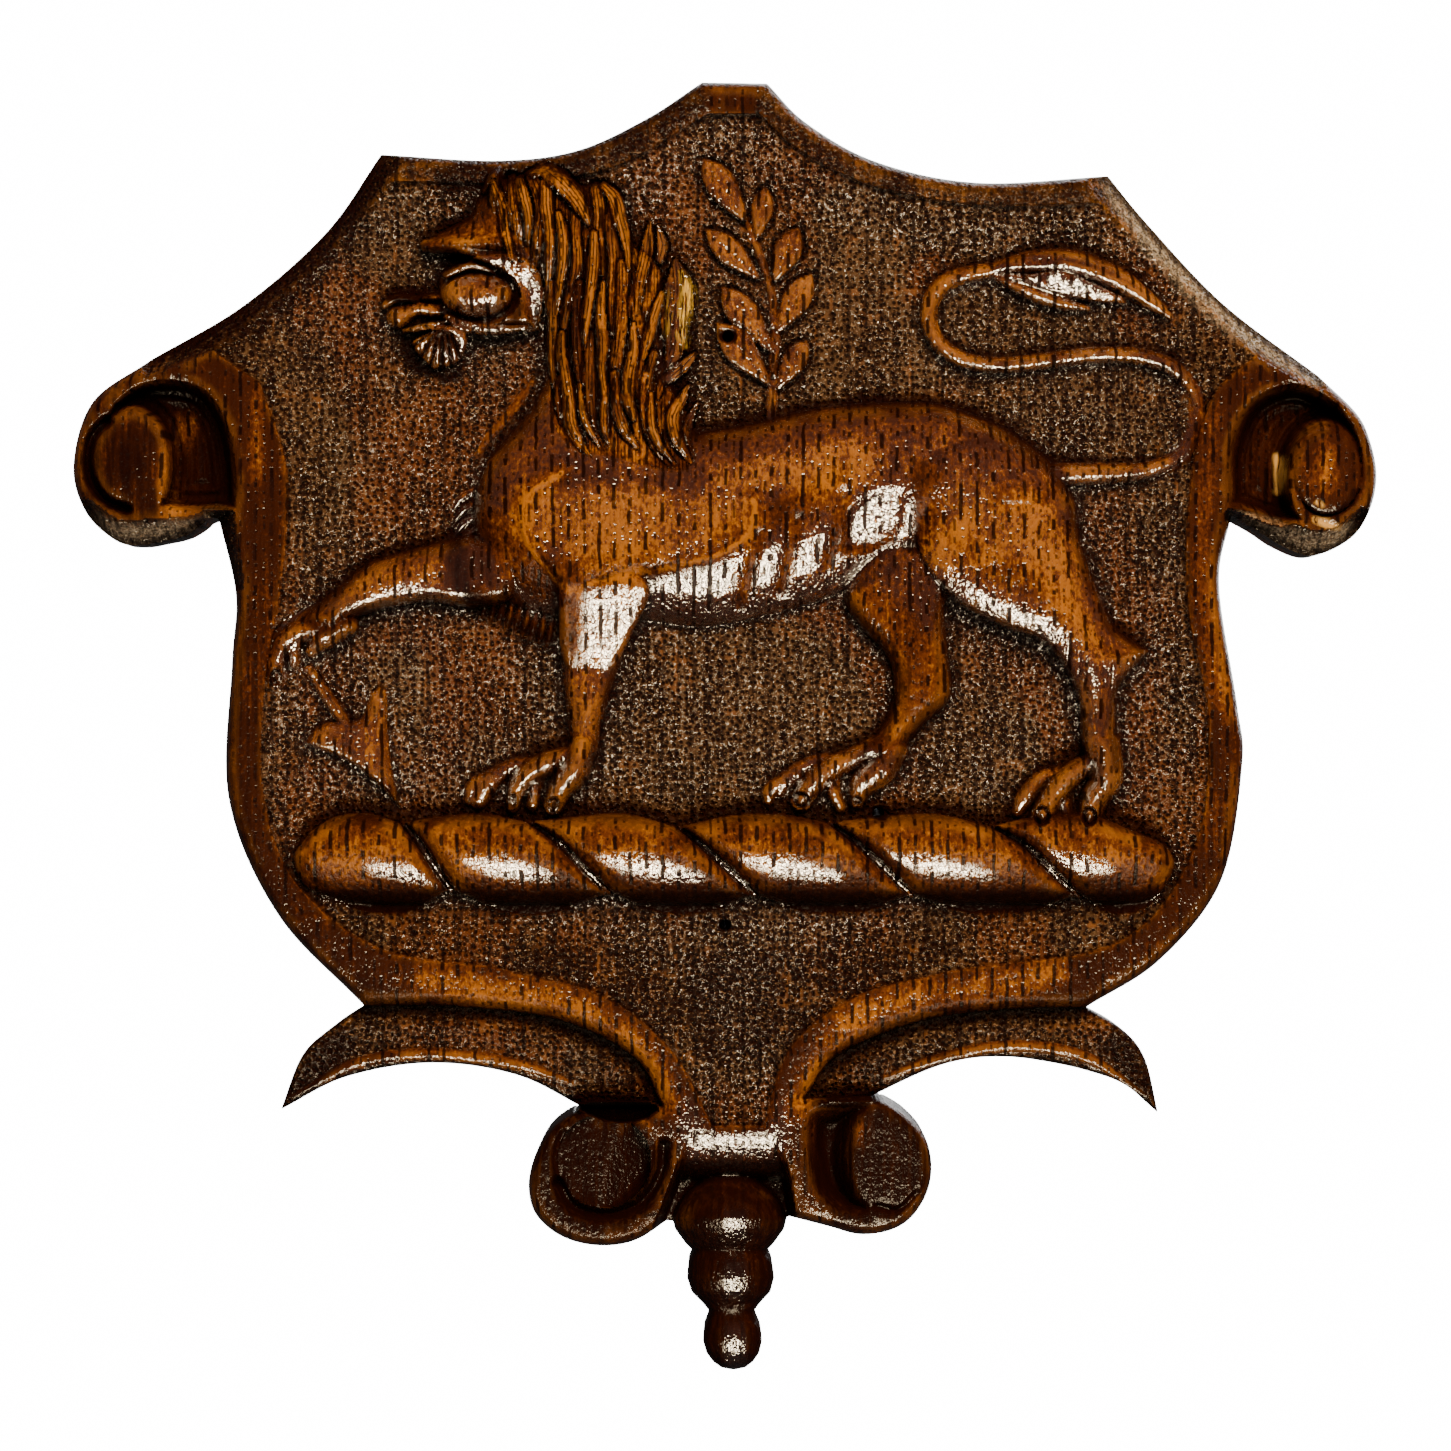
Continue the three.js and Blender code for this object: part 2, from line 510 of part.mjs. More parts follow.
function sprig() {
  const leaves = LEAVES.map(([tip, base, half]) => {
    const middle = [(tip[0] + base[0]) / 2, (tip[1] + base[1]) / 2, half];
    const line = [[...tip, half * LEAF_END], middle, [...base, half * LEAF_END]];
    return roll({ line, rise: SPRIG_RELIEF, blunt: 0.8 });
  });
  return [roll({ line: STEM, rise: SPRIG_RELIEF, sides: 6 }), ...leaves];
}

function mane() {
  const locks = Array.from({ length: MANE_LOCKS }, (_, i) => {
    const share = i / (MANE_LOCKS - 1);
    const line = MANE_FRONT.map(([x, y], k) => [
      THREE.MathUtils.lerp(x, MANE_BACK[k][0], share) + LOCK_WAVE * Math.sin(k * 2 + i),
      THREE.MathUtils.lerp(y, MANE_BACK[k][1], share),
      LOCK_HALF,
    ]);
    const lower = (i % 2) + 1 - Math.sin(Math.PI * share);
    return roll({ line, rise: MANE_RELIEF - LOCK_DIP * lower, rings: 8, blunt: 0.2 });
  });
  return trimmed(MANE_OUTLINE, [roll({ ...MANE_BED, sides: 12, blunt: 0.3 }), ...locks]);
}

function tail() {
  const line = TAIL.map(([x, y]) => [x, y, TAIL_HALF]);
  return [roll({ line, rise: TAIL_RELIEF, rings: 30, sides: 6, blunt: 0.3 }), ...TUFT.map(roll)];
}

function arrow() {
  return [plate(ARROW_HEAD, FIELD - CLEAR, FIELD + ARROW_RELIEF), roll(ARROW_SHAFT)];
}

// The drop: a cup and two beads turned about an upright axis, then flattened against the wall
function drop() {
  const SIDES = 16;
  const profile = DROP_PROFILE.map(([share, y]) => new THREE.Vector2(share * DROP_RADIUS, up(y))).reverse();
  const geometry = new THREE.LatheGeometry(profile, SIDES);
  const flatten = (DROP_RELIEF - DROP_AXIS_HEIGHT) / DROP_RADIUS;
  return solid(geometry.scale(1, 1, flatten).translate(across(DROP_AXIS_X), 0, DROP_AXIS_HEIGHT));
}

// The smooth ridge under each horn, along its lower edge
function ridges() {
  return RIDGES.map((points) => {
    const line = points.map(([x, y]) => [x, y, RIDGE_WIDTH / 2]);
    return roll({ line, rise: RIDGE_HEIGHT, level: HORN, sides: 6, blunt: 0.2 });
  });
}

function nailHole([x, y]) {
  const SIDES = 12;
  const length = RIM_THICKNESS + BODY_RELIEF + 2 * CLEAR;
  const geometry = new THREE.CylinderGeometry(NAIL_HOLE / 2, NAIL_HOLE / 2, length, SIDES);
  return solid(geometry.rotateX(Math.PI / 2).translate(across(x), up(y), length / 2 - CLEAR));
}

function carvedShield() {
  const above = RIM_THICKNESS + CLEAR;
  const cuts = [
    plate(CUP_RECESS, CUP_FLOOR, above),
    ...RECESSES.map(({ depth, outline }) => plate(outline, RIM_THICKNESS - depth, above)),
    ...COILS.map(({ line, depth }) => roll({ line, rise: depth, level: RIM_THICKNESS, blunt: 0.2 })),
  ];
  const raised = [
    boss(RAISED_EYE, RIM_THICKNESS + EYE_RISE), ...ridges(), ...torse(), ...tail(), ...arrow(), ...sprig(),
    ...[FAR_HIND, RAISED_FORE, BODY, NEAR_HIND, NEAR_FORE, FACE].map(carvedPart),
    ...[...TOES, ...HEAD_FORMS, ...HAIR_FORMS].map(roll), ball(CHEEK), mane(), drop(),
  ];
  const field = plate(FIELD_OUTLINE, FIELD, above, FINE_STEPS);
  const horns = HORNS.map((horn) => plate(horn, 0, HORN, FINE_STEPS));
  const blank = union([board().subtract(field), ...horns]);
  const carved = union([blank.subtract(union(cuts)), ...raised]);
  const front = new THREE.BoxGeometry(WIDTH * 2, HEIGHT * 2, BACK_CUT).translate(0, 0, BACK_CUT / 2);
  return carved.subtract(union(NAIL_HOLES.map(nailHole))).intersect(solid(front));
}

function toGeometry(form) {
  const mesh = form.getMesh();
  const geometry = new THREE.BufferGeometry();
  geometry.setAttribute('position', new THREE.BufferAttribute(mesh.vertProperties, 3));
  geometry.setIndex(new THREE.BufferAttribute(mesh.triVerts, 1));
  return geometry;
}

const oak = new THREE.MeshStandardMaterial({ color: 0x7a3d12, roughness: 0.42, metalness: 0 });
const shield = new THREE.Mesh(toGeometry(carvedShield()), oak);
shield.name = 'carved_shield';
shield.rotation.x = Math.PI / 2;

const plaque = new THREE.Group();
plaque.add(shield);

export default plaque;
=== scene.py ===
"""Carved oak coat of arms: the visual model of one carved board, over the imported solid."""
import math

import bmesh
import bpy
import numpy as np
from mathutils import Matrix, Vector


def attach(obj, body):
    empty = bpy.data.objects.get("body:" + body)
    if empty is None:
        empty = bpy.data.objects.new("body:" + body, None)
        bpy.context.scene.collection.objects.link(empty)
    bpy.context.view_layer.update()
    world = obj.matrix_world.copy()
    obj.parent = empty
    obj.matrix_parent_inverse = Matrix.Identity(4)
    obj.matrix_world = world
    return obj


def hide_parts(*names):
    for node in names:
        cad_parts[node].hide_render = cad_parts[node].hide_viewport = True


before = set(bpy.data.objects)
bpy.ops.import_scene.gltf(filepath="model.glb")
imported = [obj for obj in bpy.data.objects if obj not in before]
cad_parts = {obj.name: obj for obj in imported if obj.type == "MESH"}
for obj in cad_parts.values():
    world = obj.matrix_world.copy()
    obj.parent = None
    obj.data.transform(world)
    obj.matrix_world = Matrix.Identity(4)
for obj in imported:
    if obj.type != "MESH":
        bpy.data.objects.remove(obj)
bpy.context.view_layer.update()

MM = 0.001

# Heights above the flat back, in millimetres
RIM = 16.0
EDGE = 11.4
FIELD = 12.0
HORN = 11.3
CUP_FLOOR = 6.0
DROP_AXIS = 6.0

# Relief above the field
BODY_RELIEF = 9.0
NEAR_LEG_RELIEF = 8.0
FAR_LEG_RELIEF = 5.5
TAIL_RELIEF = 4.0
SPRIG_RELIEF = 1.6
ARROW_RELIEF = 3.0
TORSE_RELIEF = 8.4
HIGHEST = 21.95
NAIL_HOLE = 2.4
NAIL_LEAN = 2.0
NAIL_TIP = 0.1
NAIL_HOLES = [(0.2, 77.6), (-0.4, -40), (30.2, -17.6)]

# The camera: its distance from the board's edge, and what it spans there
DISTANCE = 0.55
VIEW_WIDTH = 0.2895

# Grid of the carved front: x to the right, z up, in millimetres
STEP = 0.33
LEFT, RIGHT = -133.0, 133.0
LOW, HIGH = -131.0, 131.0
XS = np.arange(LEFT, RIGHT, STEP)
ZS = np.arange(LOW, HIGH, STEP)
X, Z = np.meshgrid(XS, ZS)
TRIANGLES = 170000
SHARP = math.radians(60)

# Outside its outline a form lies this low, so that it leaves what is there
BELOW = FIELD - 6

# A surface that leans this much, down and back, mirrors the light below the camera
LEAN = 0.36

# Seeds of the random reliefs
SEED_UNEVEN, SEED_PUNCHED, SEED_CUTS = 1, 2, 11
SEED_FALL, SEED_WAVE, SEED_STRANDS, SEED_GLINTS, SEED_PATCHES = 5, 6, 7, 21, 22
SEED_FACE = 31

# The height of the front, and the layers that colour it
H = np.full(X.shape, RIM)
LAYER_NAMES = ("matted", "worn", "bare", "dark", "glow", "dull", "comb", "mane", "olive", "pale")
LAYERS = {name: np.zeros(X.shape) for name in LAYER_NAMES}
MATTED, WORN, BARE, DARK, GLOW, DULL, COMB, MANE, OLIVE, LIT_EDGE = LAYERS.values()


# Tools for drawing on the grid

def smooth(points, closed=False, spacing=0.9):
    """A curve through the points. Columns after x and z, such as a width, ride along."""
    p = np.asarray(points, float)
    if closed:
        p = np.vstack([p[-1:], p, p[:2]])
    else:
        p = np.vstack([2 * p[:1] - p[1:2], p, 2 * p[-1:] - p[-2:-1]])
    pieces = []
    for a, b, c, d in zip(p, p[1:], p[2:], p[3:]):
        steps = max(1, int(np.hypot(*(c - b)[:2]) / spacing))
        t = (np.arange(steps) / steps)[:, None]
        pieces.append(b + 0.5 * t * (c - a + t * (2 * a - 5 * b + 4 * c - d + t * (3 * (b - c) + d - a))))
    pieces.append(p[-2:-1])
    return np.vstack(pieces)


def loop(runs):
    """A closed outline of smooth runs between corners. Each run goes on from the end of the last one."""
    start = runs[-1][-1]
    pieces = []
    for run in runs:
        pieces.append(smooth([start] + list(run))[:-1])
        start = run[-1]
    pieces.append(pieces[0][:1])
    return np.vstack(pieces)


def window(low, high):
    """The part of the grid that covers a rectangle."""
    i = np.clip([int((low[0] - LEFT) / STEP), int((high[0] - LEFT) / STEP) + 2], 0, len(XS))
    j = np.clip([int((low[1] - LOW) / STEP), int((high[1] - LOW) / STEP) + 2], 0, len(ZS))
    return np.s_[j[0]:j[1], i[0]:i[1]]


def near(line, reach):
    """For the grid round a line: distance to it, side, share along it, and its own columns at that point."""
    area = window(line[:, :2].min(0) - reach, line[:, :2].max(0) + reach)
    shape = X[area].shape
    distance = np.full(shape, float(reach))
    side = np.zeros(shape)
    share = np.zeros(shape)
    columns = np.zeros((line.shape[1], *shape))
    for k, (a, b) in enumerate(zip(line, line[1:])):
        part = window(np.minimum(a, b)[:2] - reach, np.maximum(a, b)[:2] + reach)
        local = np.s_[part[0].start - area[0].start:part[0].stop - area[0].start,
                      part[1].start - area[1].start:part[1].stop - area[1].start]
        x, z = X[part] - a[0], Z[part] - a[1]
        step = b - a
        t = np.clip((x * step[0] + z * step[1]) / max(step[0] ** 2 + step[1] ** 2, 1e-9), 0, 1)
        d = np.hypot(x - t * step[0], z - t * step[1])
        closer = d < distance[local]
        distance[local][closer] = d[closer]
        side[local][closer] = np.sign(step[0] * z - step[1] * x)[closer]
        share[local][closer] = (k + t[closer]) / (len(line) - 1)
        for column, start, change in zip(columns, a, step):
            column[local][closer] = start + t[closer] * change
    return area, distance, side, share, columns


def within(outline, area):
    """True for the grid points inside a closed outline."""
    x, z = X[area], Z[area]
    flips = np.zeros((x.shape[0], x.shape[1] + 1), int)
    for a, b in zip(outline, outline[1:]):
        low, high = sorted((a[1], b[1]))
        rows = np.nonzero((z[:, 0] >= low) & (z[:, 0] < high))[0]
        if len(rows):
            cross = a[0] + (z[rows, 0] - a[1]) * (b[0] - a[0]) / (b[1] - a[1])
            np.add.at(flips, (rows, np.clip(np.ceil((cross - x[0, 0]) / STEP).astype(int), 0, x.shape[1])), 1)
    return np.cumsum(flips, 1)[:, :-1] % 2 == 1


def signed(outline, reach):
    """Distance to a closed outline, positive inside, no larger than reach."""
    area, distance, *_ = near(outline, reach)
    return area, np.where(within(outline, area), distance, -distance)


def ramp(value, width=1.0):
    """Goes softly from 0 to 1 over the width."""
    u = np.clip(value / width, 0, 1)
    return u * u * (3 - 2 * u)


def dome(value, width=1.0):
    """Goes from 0 to 1 over the width like a quarter of a circle."""
    return np.sqrt(1 - (1 - np.clip(value / width, 0, 1)) ** 2)


def profile(points):
    """A section, as height against distance from the edge, with its corners eased."""
    at = np.linspace(0, points[-1][0], 241)
    heights = np.interp(at, *zip(*points))
    kernel = np.hanning(15) / np.hanning(15).sum()
    eased = np.convolve(np.pad(heights, 7, mode="reflect", reflect_type="odd"), kernel, "valid")
    return lambda distance: np.interp(distance, at, eased)


def noise(size_x, size_z, seed):
    """Smooth random relief between -1 and 1, with cells of the given size."""
    u, v = (X - LEFT) / size_x, (Z - LOW) / size_z
    cells = np.random.default_rng(seed).uniform(-1, 1, (int(v.max()) + 2, int(u.max()) + 2))
    i, j = u.astype(int), v.astype(int)
    s, t = ramp(u - i), ramp(v - j)
    low = cells[j, i] * (1 - s) + cells[j, i + 1] * s
    high = cells[j + 1, i] * (1 - s) + cells[j + 1, i + 1] * s
    return low * (1 - t) + high * t


def blur(values, radius):
    """Three box blurs, which come close to a bell curve."""
    n = max(1, int(radius / STEP))
    for _ in range(3):
        for axis in (0, 1):
            padded = np.pad(values, [(n + 1, n) if k == axis else (0, 0) for k in (0, 1)], mode="edge")
            total = np.cumsum(padded, axis)
            top = [slice(None)] * 2
            bottom = [slice(None)] * 2
            top[axis] = slice(2 * n + 1, None)
            bottom[axis] = slice(None, -2 * n - 1)
            values = (total[tuple(top)] - total[tuple(bottom)]) / (2 * n + 1)
    return values


# Tools for carving

def raise_to(area, height, soft=0.3):
    """Joins a form to what is there already, with a small fillet."""
    old = H[area]
    H[area] = (old + height + np.hypot(old - height, soft) - soft * (height > FIELD - 1) * 0.3) / 2


def lift(layer, area, value):
    """Raises a layer to a value where it lies lower."""
    layer[area] = np.maximum(layer[area], value)


def cut_to(area, where, height):
    """Lowers the surface to a height where a test holds and it lies higher."""
    H[area] = np.where(where, np.minimum(H[area], height), H[area])


def fill_to(area, where, height):
    """Raises the surface to a height where a test holds and it lies lower."""
    H[area] = np.where(where, np.maximum(H[area], height), H[area])


def bend_to(area, plane, share):
    """Moves the surface to a plane, wholly where the share is 1."""
    H[area] += (plane - H[area]) * share


def raise_inside(area, inside, height, soft):
    """Raises a form where it is inside its outline, and cuts it smooth."""
    raise_to(area, np.where(inside > 0, height, BELOW), soft)
    smooth_skin(area, inside)


def smooth_skin(area, inside):
    """Marks a form's surface as cut smooth, with no punch marks."""
    MATTED[area] = np.minimum(MATTED[area], 1 - ramp(inside + 0.25, 0.5))


def painted_shade_edge(area, inside, width=3.5, amount=0.62):
    """Painted shade along the edge of a form, fading inwards over the width."""
    painted_shade = amount * (1 - ramp(inside - 0.6, width)) * ramp(inside + 0.6, 0.6)
    DARK[area] = np.where(inside > width, DARK[area] * 0, np.maximum(DARK[area], painted_shade))


def facing_up(inside):
    """0 where the nearest edge faces down, 1 where it faces up."""
    return ramp(0.5 - np.gradient(inside, axis=0) / STEP / 2)


def form(outline, rise, low=8.0, up=8.0, base=FIELD, soft=0.3):
    """A rounded form. Its edge is rounded over the width low where it faces down, over up elsewhere."""
    area, inside = signed(outline, max(low, up))
    width = low + (up - low) * facing_up(inside)
    raise_to(area, np.where(inside > 0, base + rise * dome(inside, width), base - 6), soft)
    smooth_skin(area, inside)
    painted_shade_edge(area, inside, 2.5)
    return area, inside


def roll(points, rise, base=FIELD, soft=0.2, spacing=0.6):
    """A tapering round form along a line of x, z and half width."""
    line = smooth(points, spacing=spacing)
    area, distance, _, _, columns = near(line, line[:, 2].max())
    inside = columns[2] - distance
    full = line[:, 2].max()
    height = rise * np.sqrt(np.clip(1 - (distance / np.maximum(columns[2], 0.05)) ** 2, 0, 1))
    height = height * (0.35 + 0.65 * np.clip(columns[2] / full, 0, 1))
    raise_to(area, np.where(inside > 0, base + height, base - 6), soft)
    smooth_skin(area, inside)


# Painted glints: a random mask of the higher locks whose crests are painted lighter orange
GLINTS = ramp(noise(4, 9, SEED_GLINTS) + 0.55, 0.5)


def strand(bed, points, rise, soft=0.12):
    """A lock of hair over a bed: a ridge with a flat crest and a steep edge, pointed where its line ends."""
    line = smooth(points, spacing=0.6)
    area, distance, side, _, columns = near(line, 1.5 * line[:, 2].max())
    u = distance / np.maximum(columns[2], 0.05)
    crest = rise * (1 - 0.75 * np.clip(u, 0, 1) ** 2) * np.clip(columns[2] / 0.8, 0.3, 1)
    lit = GLINTS[area] * (rise > 1.0)
    DARK[area] = np.where(u < 1, 0.15 * (1 - lit), DARK[area])
    cut = np.clip(1 - np.abs(u - 1.25) / 0.35, 0, 1)
    H[area] = H[area] - 0.8 * cut
    # Painted shade in the cut beside the lock
    lift(DARK, area, 0.85 * np.clip(1.8 - np.abs(u - 1.3) / 0.3, 0, 1))
    COMB[area] = np.where(u < 1, side * distance + 0.4, COMB[area])
    MANE[area] = np.where(u < 1, 1, MANE[area])
    raise_to(area, np.where(u < 1, bed[area] + crest, BELOW), soft)
    smooth_skin(area, columns[2] - distance)
    lift(GLOW, area, 2.0 * np.clip(1.4 - 1.3 * u, 0, 1) * lit)


def groove(points, depth, width):
    """A cut with a round bottom along a line."""
    area, distance, *_ = near(smooth(points, spacing=0.6), width)
    H[area] -= depth * (1 - ramp(distance, width))


def swell(x, z, half_x, half_z, tilt, rise):
    """A soft muscle over the form that is there."""
    turn = math.radians(tilt)
    reach = 2.4 * max(half_x, half_z)
    area = window((x - reach, z - reach), (x + reach, z + reach))
    dx, dz = X[area] - x, Z[area] - z
    u = (dx * math.cos(turn) + dz * math.sin(turn)) / half_x
    v = (dz * math.cos(turn) - dx * math.sin(turn)) / half_z
    H[area] += rise * np.exp(-u * u - v * v) * ramp(H[area] - FIELD, 3)


def facet(points, height, soft=0.5):
    """A narrow flat cut that leans a little downwards and shines."""
    line = smooth(points, spacing=0.6)
    area, distance, _, _, columns = near(line, line[:, 2].max())
    plane = FIELD + height + LEAN * (Z[area] - columns[1])
    bend_to(area, plane, ramp(columns[2] - distance, soft))


def mark(layer, points, amount=1.0, edge=0.4):
    """Colours a stroke of x, z and half width on one of the layers."""
    line = smooth(points, spacing=0.6)
    area, distance, _, _, columns = near(line, line[:, 2].max() + edge)
    lift(layer, area, amount * (1 - ramp(distance - columns[2] + edge, 2 * edge)))


def clear(layer, points, edge):
    """Takes a layer away along a stroke of x, z and half width."""
    line = smooth(points, spacing=0.6)
    area, distance, _, _, columns = near(line, line[:, 2].max() + edge)
    layer[area] *= ramp(distance - columns[2] + edge, 2 * edge)


# The board

OUTLINE = loop([
    [(-46, 112.6), (-30, 114.6), (-16, 121), (-5, 128.2)],
    [(8, 128)],
    [(16, 120), (30, 112.3), (50, 108.2), (76, 109.5)],
    [(84, 99.8), (99, 84), (118, 69.6)],
    [(125.6, 62.2), (128.4, 56.4), (129.6, 49.6), (128.2, 42.8), (124.4, 37.2), (117, 33.8), (110.6, 35.8),
     (105.6, 39), (100.6, 41.8)],
    [(98.2, 28), (101.8, 4), (102.8, -8), (98.6, -31), (86.4, -46.8), (71.8, -56.2)],
    [(54, -56.8), (38, -59.2), (22, -66), (15.4, -74.4)],
    [(28.4, -74)],
    [(32.6, -75.7), (36.5, -78.4), (39.6, -82.3), (40.8, -87.6), (40, -93), (37, -98), (32.6, -100.8),
     (26.4, -101.6), (20.2, -100), (12.4, -98)],
    [(0.4, -100), (-12, -98.8)],
    [(-17.4, -102.4), (-22.8, -103.8), (-29, -103.4), (-34.4, -101.2), (-38.4, -97.2), (-39.6, -92),
     (-38.6, -86.6), (-36, -81.4), (-32.6, -78.4), (-28.5, -76.4)],
    [(-13, -76)],
    [(-18.6, -66.2), (-34, -58.6), (-55, -56), (-72.4, -56)],
    [(-89.6, -37.8), (-99.4, -14.8), (-98.8, 12), (-98, 26), (-101.4, 41.2)],
    [(-103.4, 41.4)],
    [(-105.4, 39.4), (-108.6, 37.6), (-113, 36.6), (-117.4, 35.9), (-122, 36.8), (-128, 42.6), (-130.4, 52),
     (-126.5, 64.5), (-115, 72.8)],
    [(-96.6, 83.6), (-80, 98.2), (-69, 113.8)],
])

LEFT_HORN = loop([
    [(-42, -69.8), (-59, -67.4), (-76, -70.2), (-89, -76.7)],
    [(-84.8, -66), (-79, -60.4), (-72.4, -56)],
    [(-56, -50), (-28, -56), (-12, -77), (-28.5, -76.4)],
])
RIGHT_HORN = loop([
    [(79, -60.8), (83.4, -66.6), (86, -77.4)],
    [(79.4, -71.8), (72, -69), (64, -67.2), (56, -66.2), (48, -66.6), (40, -68.8), (28.4, -74.2)],
    [(14.4, -75.6), (30, -57), (56, -51), (71.6, -56.4)],
])

FIELD_OUTLINE = loop([
    [(-58, 108.5), (-40, 108.6), (-22, 111.8), (-4, 122.2)],
    [(6.5, 122.2)],
    [(16, 114), (32, 107), (54, 103.8), (82, 104.8)],
    [(96, 98), (116, 80)],
    [(107, 74.6)],
    [(97, 65), (92.5, 46), (92.2, 24), (96.4, 0), (93.4, -25), (78, -43.6), (44.5, -49.4)],
    [(26, -54.4), (13, -64.4), (7.6, -80.4)],
    [(-3.2, -80.4)],
    [(-11.2, -65.4), (-25, -54.4), (-46, -48.8)],
    [(-69, -45), (-86, -32), (-92.8, -14), (-92.6, 8), (-89.6, 26), (-88, 50), (-93.4, 68)],
    [(-105, 76)],
    [(-100, 92), (-84, 109)],
])

# Sloping strips on the outline: x, z and width
STRIP_DROP = 6.5
RIM_STAIN = 0.6
RIM_DULL = 0.8
TOP_RIM = [
    [(-62, 110.6, 4), (-40, 111, 3.4), (-22, 114.4, 3.4), (-7, 124.6, 3)],
    [(9, 124.4, 3), (20, 114.8, 4), (34, 109.6, 3.4), (54, 106.6, 3.4), (78, 107.4, 3)],
]
STRIPS = [
    [(76, 109.5, 4.2), (84, 99.8, 5), (99, 84, 5), (118, 69.8, 3)],
    [(-69, 113.8, 4.2), (-80, 98, 5), (-96.6, 83.4, 5), (-115, 72.8, 3)],
    [(-104, 40.6, 2), (-108.6, 37.6, 4), (-117.4, 35.9, 5), (-123, 37.4, 4), (-128, 42.6, 2.4)],
    [(101, 41.4, 2), (105.6, 39, 3.6), (111, 35.8, 4.8), (117, 33.8, 5), (123, 36, 4), (127.4, 41.6, 2)],
    [(-101.6, 41.4, 3.4), (-98.4, 28, 2)],
]

ROUND_EDGES = [
    [(-72.4, -56, 2.2), (-55, -56, 2.6), (-34, -58.6, 3), (-18.6, -66.2, 3), (-13, -76, 3)],
    [(71.6, -56.4, 2.2), (54, -56.8, 2.6), (38, -59.2, 3), (22, -66, 3), (15.4, -74.4, 3)],
]


def board():
    """The board with its worn edge, the rim and the sunk, punched field."""
    area, inside = signed(OUTLINE, 1.8)
    H[area] = RIM - (RIM - EDGE) * (1 - dome(inside, 1.8))
    for line in STRIPS:
        area, distance, _, _, columns = near(smooth(line), 6)
        slope = RIM - 1 - STRIP_DROP * (1 - np.clip(distance / np.maximum(columns[2], 1), 0, 1))
        cut_to(area, distance < columns[2], slope)
        lift(MATTED, area, ramp(columns[2] - distance, 0.5))
    for line in ROUND_EDGES:
        area, distance, _, _, columns = near(smooth(line), 3.2)
        H[area] = np.minimum(H[area], RIM - 3.4 * (1 - dome(distance, np.maximum(columns[2], 1))))
    rim = 1.0 - within(FIELD_OUTLINE, np.s_[:, :])
    DARK[:] = RIM_STAIN * rim
    DULL[:] = RIM_DULL * rim
    area, inside = signed(FIELD_OUTLINE, 3)
    lift(DULL, area, 0.95 * (1 - ramp(np.abs(inside - 0.5) - 0.7, 0.9)))
    for line in ROUND_EDGES:
        mark(DULL, [(x, z, half + 1) for x, z, half in line], 1.0, 0.8)
    for line in TOP_RIM:
        mark(MATTED, line, 0.8, 0.8)
    sink_field()


def sink_field():
    """The field lies a little lower towards the middle, and its ground is uneven from the punch."""
    reach = 12
    area, inside = signed(FIELD_OUTLINE, reach)
    depth = 1.3 * ramp(inside, 0.6) + 2.7 * ramp(inside, reach)
    cut_to(area, inside > 0, RIM - depth)
    lift(MATTED, area, ramp(inside, 0.6))
    uneven = 0.22 * noise(9, 14, SEED_UNEVEN) + 0.14 * noise(3.4, 4.2, SEED_PUNCHED)
    H[area] += uneven[area] * ramp(inside, 1.5)


def horns():
    """Two horns curl out from under the rim, with a punched face and a smooth ridge below."""
    rim = H.copy()
    shield_area, shield = signed(OUTLINE, 6)
    shield_inside = np.full(X.shape, -6.0)
    shield_inside[shield_area] = shield
    for outline in (LEFT_HORN, RIGHT_HORN):
        area, inside = signed(outline, 3)
        hollow = 1.3 * (1 - ramp(-shield_inside[area] - 0.5, 4))
        face = HORN - hollow - 1.6 * (1 - dome(inside, 1.2))
        outside = shield_inside[area] < 0
        H[area] = np.where(outside, np.where(inside > -2, face, H[area]), rim[area])
        MATTED[area] = np.where(outside & (inside > 0), 1, MATTED[area])
        DARK[area] = np.where(outside & (inside > 0.6), 0.1, DARK[area])
    ridges = [
        [(-31, -71.5, 0.6), (-42, -67.9, 1.3), (-58, -65.8, 1.3), (-73, -67.4, 1.3), (-86, -73.8, 0.5)],
        [(31, -70.6, 0.6), (42, -66.9, 1.3), (56, -64.2, 1.3), (71, -66.2, 1.3), (83.6, -74, 0.5)],
    ]
    for line in ridges:
        roll(line, 1.3, base=HORN, soft=0.1)


# Deep parts of the volutes: outline, depth, width of the wall, painted shade in the hollow
RECESSES = [
    ([[(-123, 63.5), (-117.6, 68), (-111, 69), (-104, 67), (-99.4, 60), (-97.6, 50), (-97.6, 42.8)],
      [(-108, 42.6), (-113.6, 43.4)],
      [(-112.6, 47), (-112, 53), (-113.4, 59), (-117.6, 62.4), (-121.6, 61.6), (-124.6, 58.6)]],
     9, 2.4, 0.85),
    ([[(99.6, 55), (104, 64.5), (113, 68.4), (121.6, 64.6), (126.2, 57.6), (127.2, 50), (126.4, 47)],
      [(125.8, 50.6), (124.8, 56), (121.6, 59), (117.4, 58.8), (114, 55.2), (112.6, 49.6), (113.4, 44),
       (115.4, 40.6)],
      [(110, 39.6), (104, 41.6), (99.6, 43.4)]], 9, 3.4, 0.5),
    ([[(-31, -75.8), (-24, -79.6), (-17, -79.4), (-13.6, -77.4)],
      [(-14, -75.4), (-22, -75)]], 8, 1.4, 0.85),
    ([[(25.4, -86), (26.6, -92.6), (29, -96.6), (26, -98.2), (21, -97), (17, -93), (15.2, -86), (15.2, -79),
       (18, -75.8), (24, -75), (29.6, -75.4), (27, -78.6)]], 6.5, 5.0, 0.6),
]

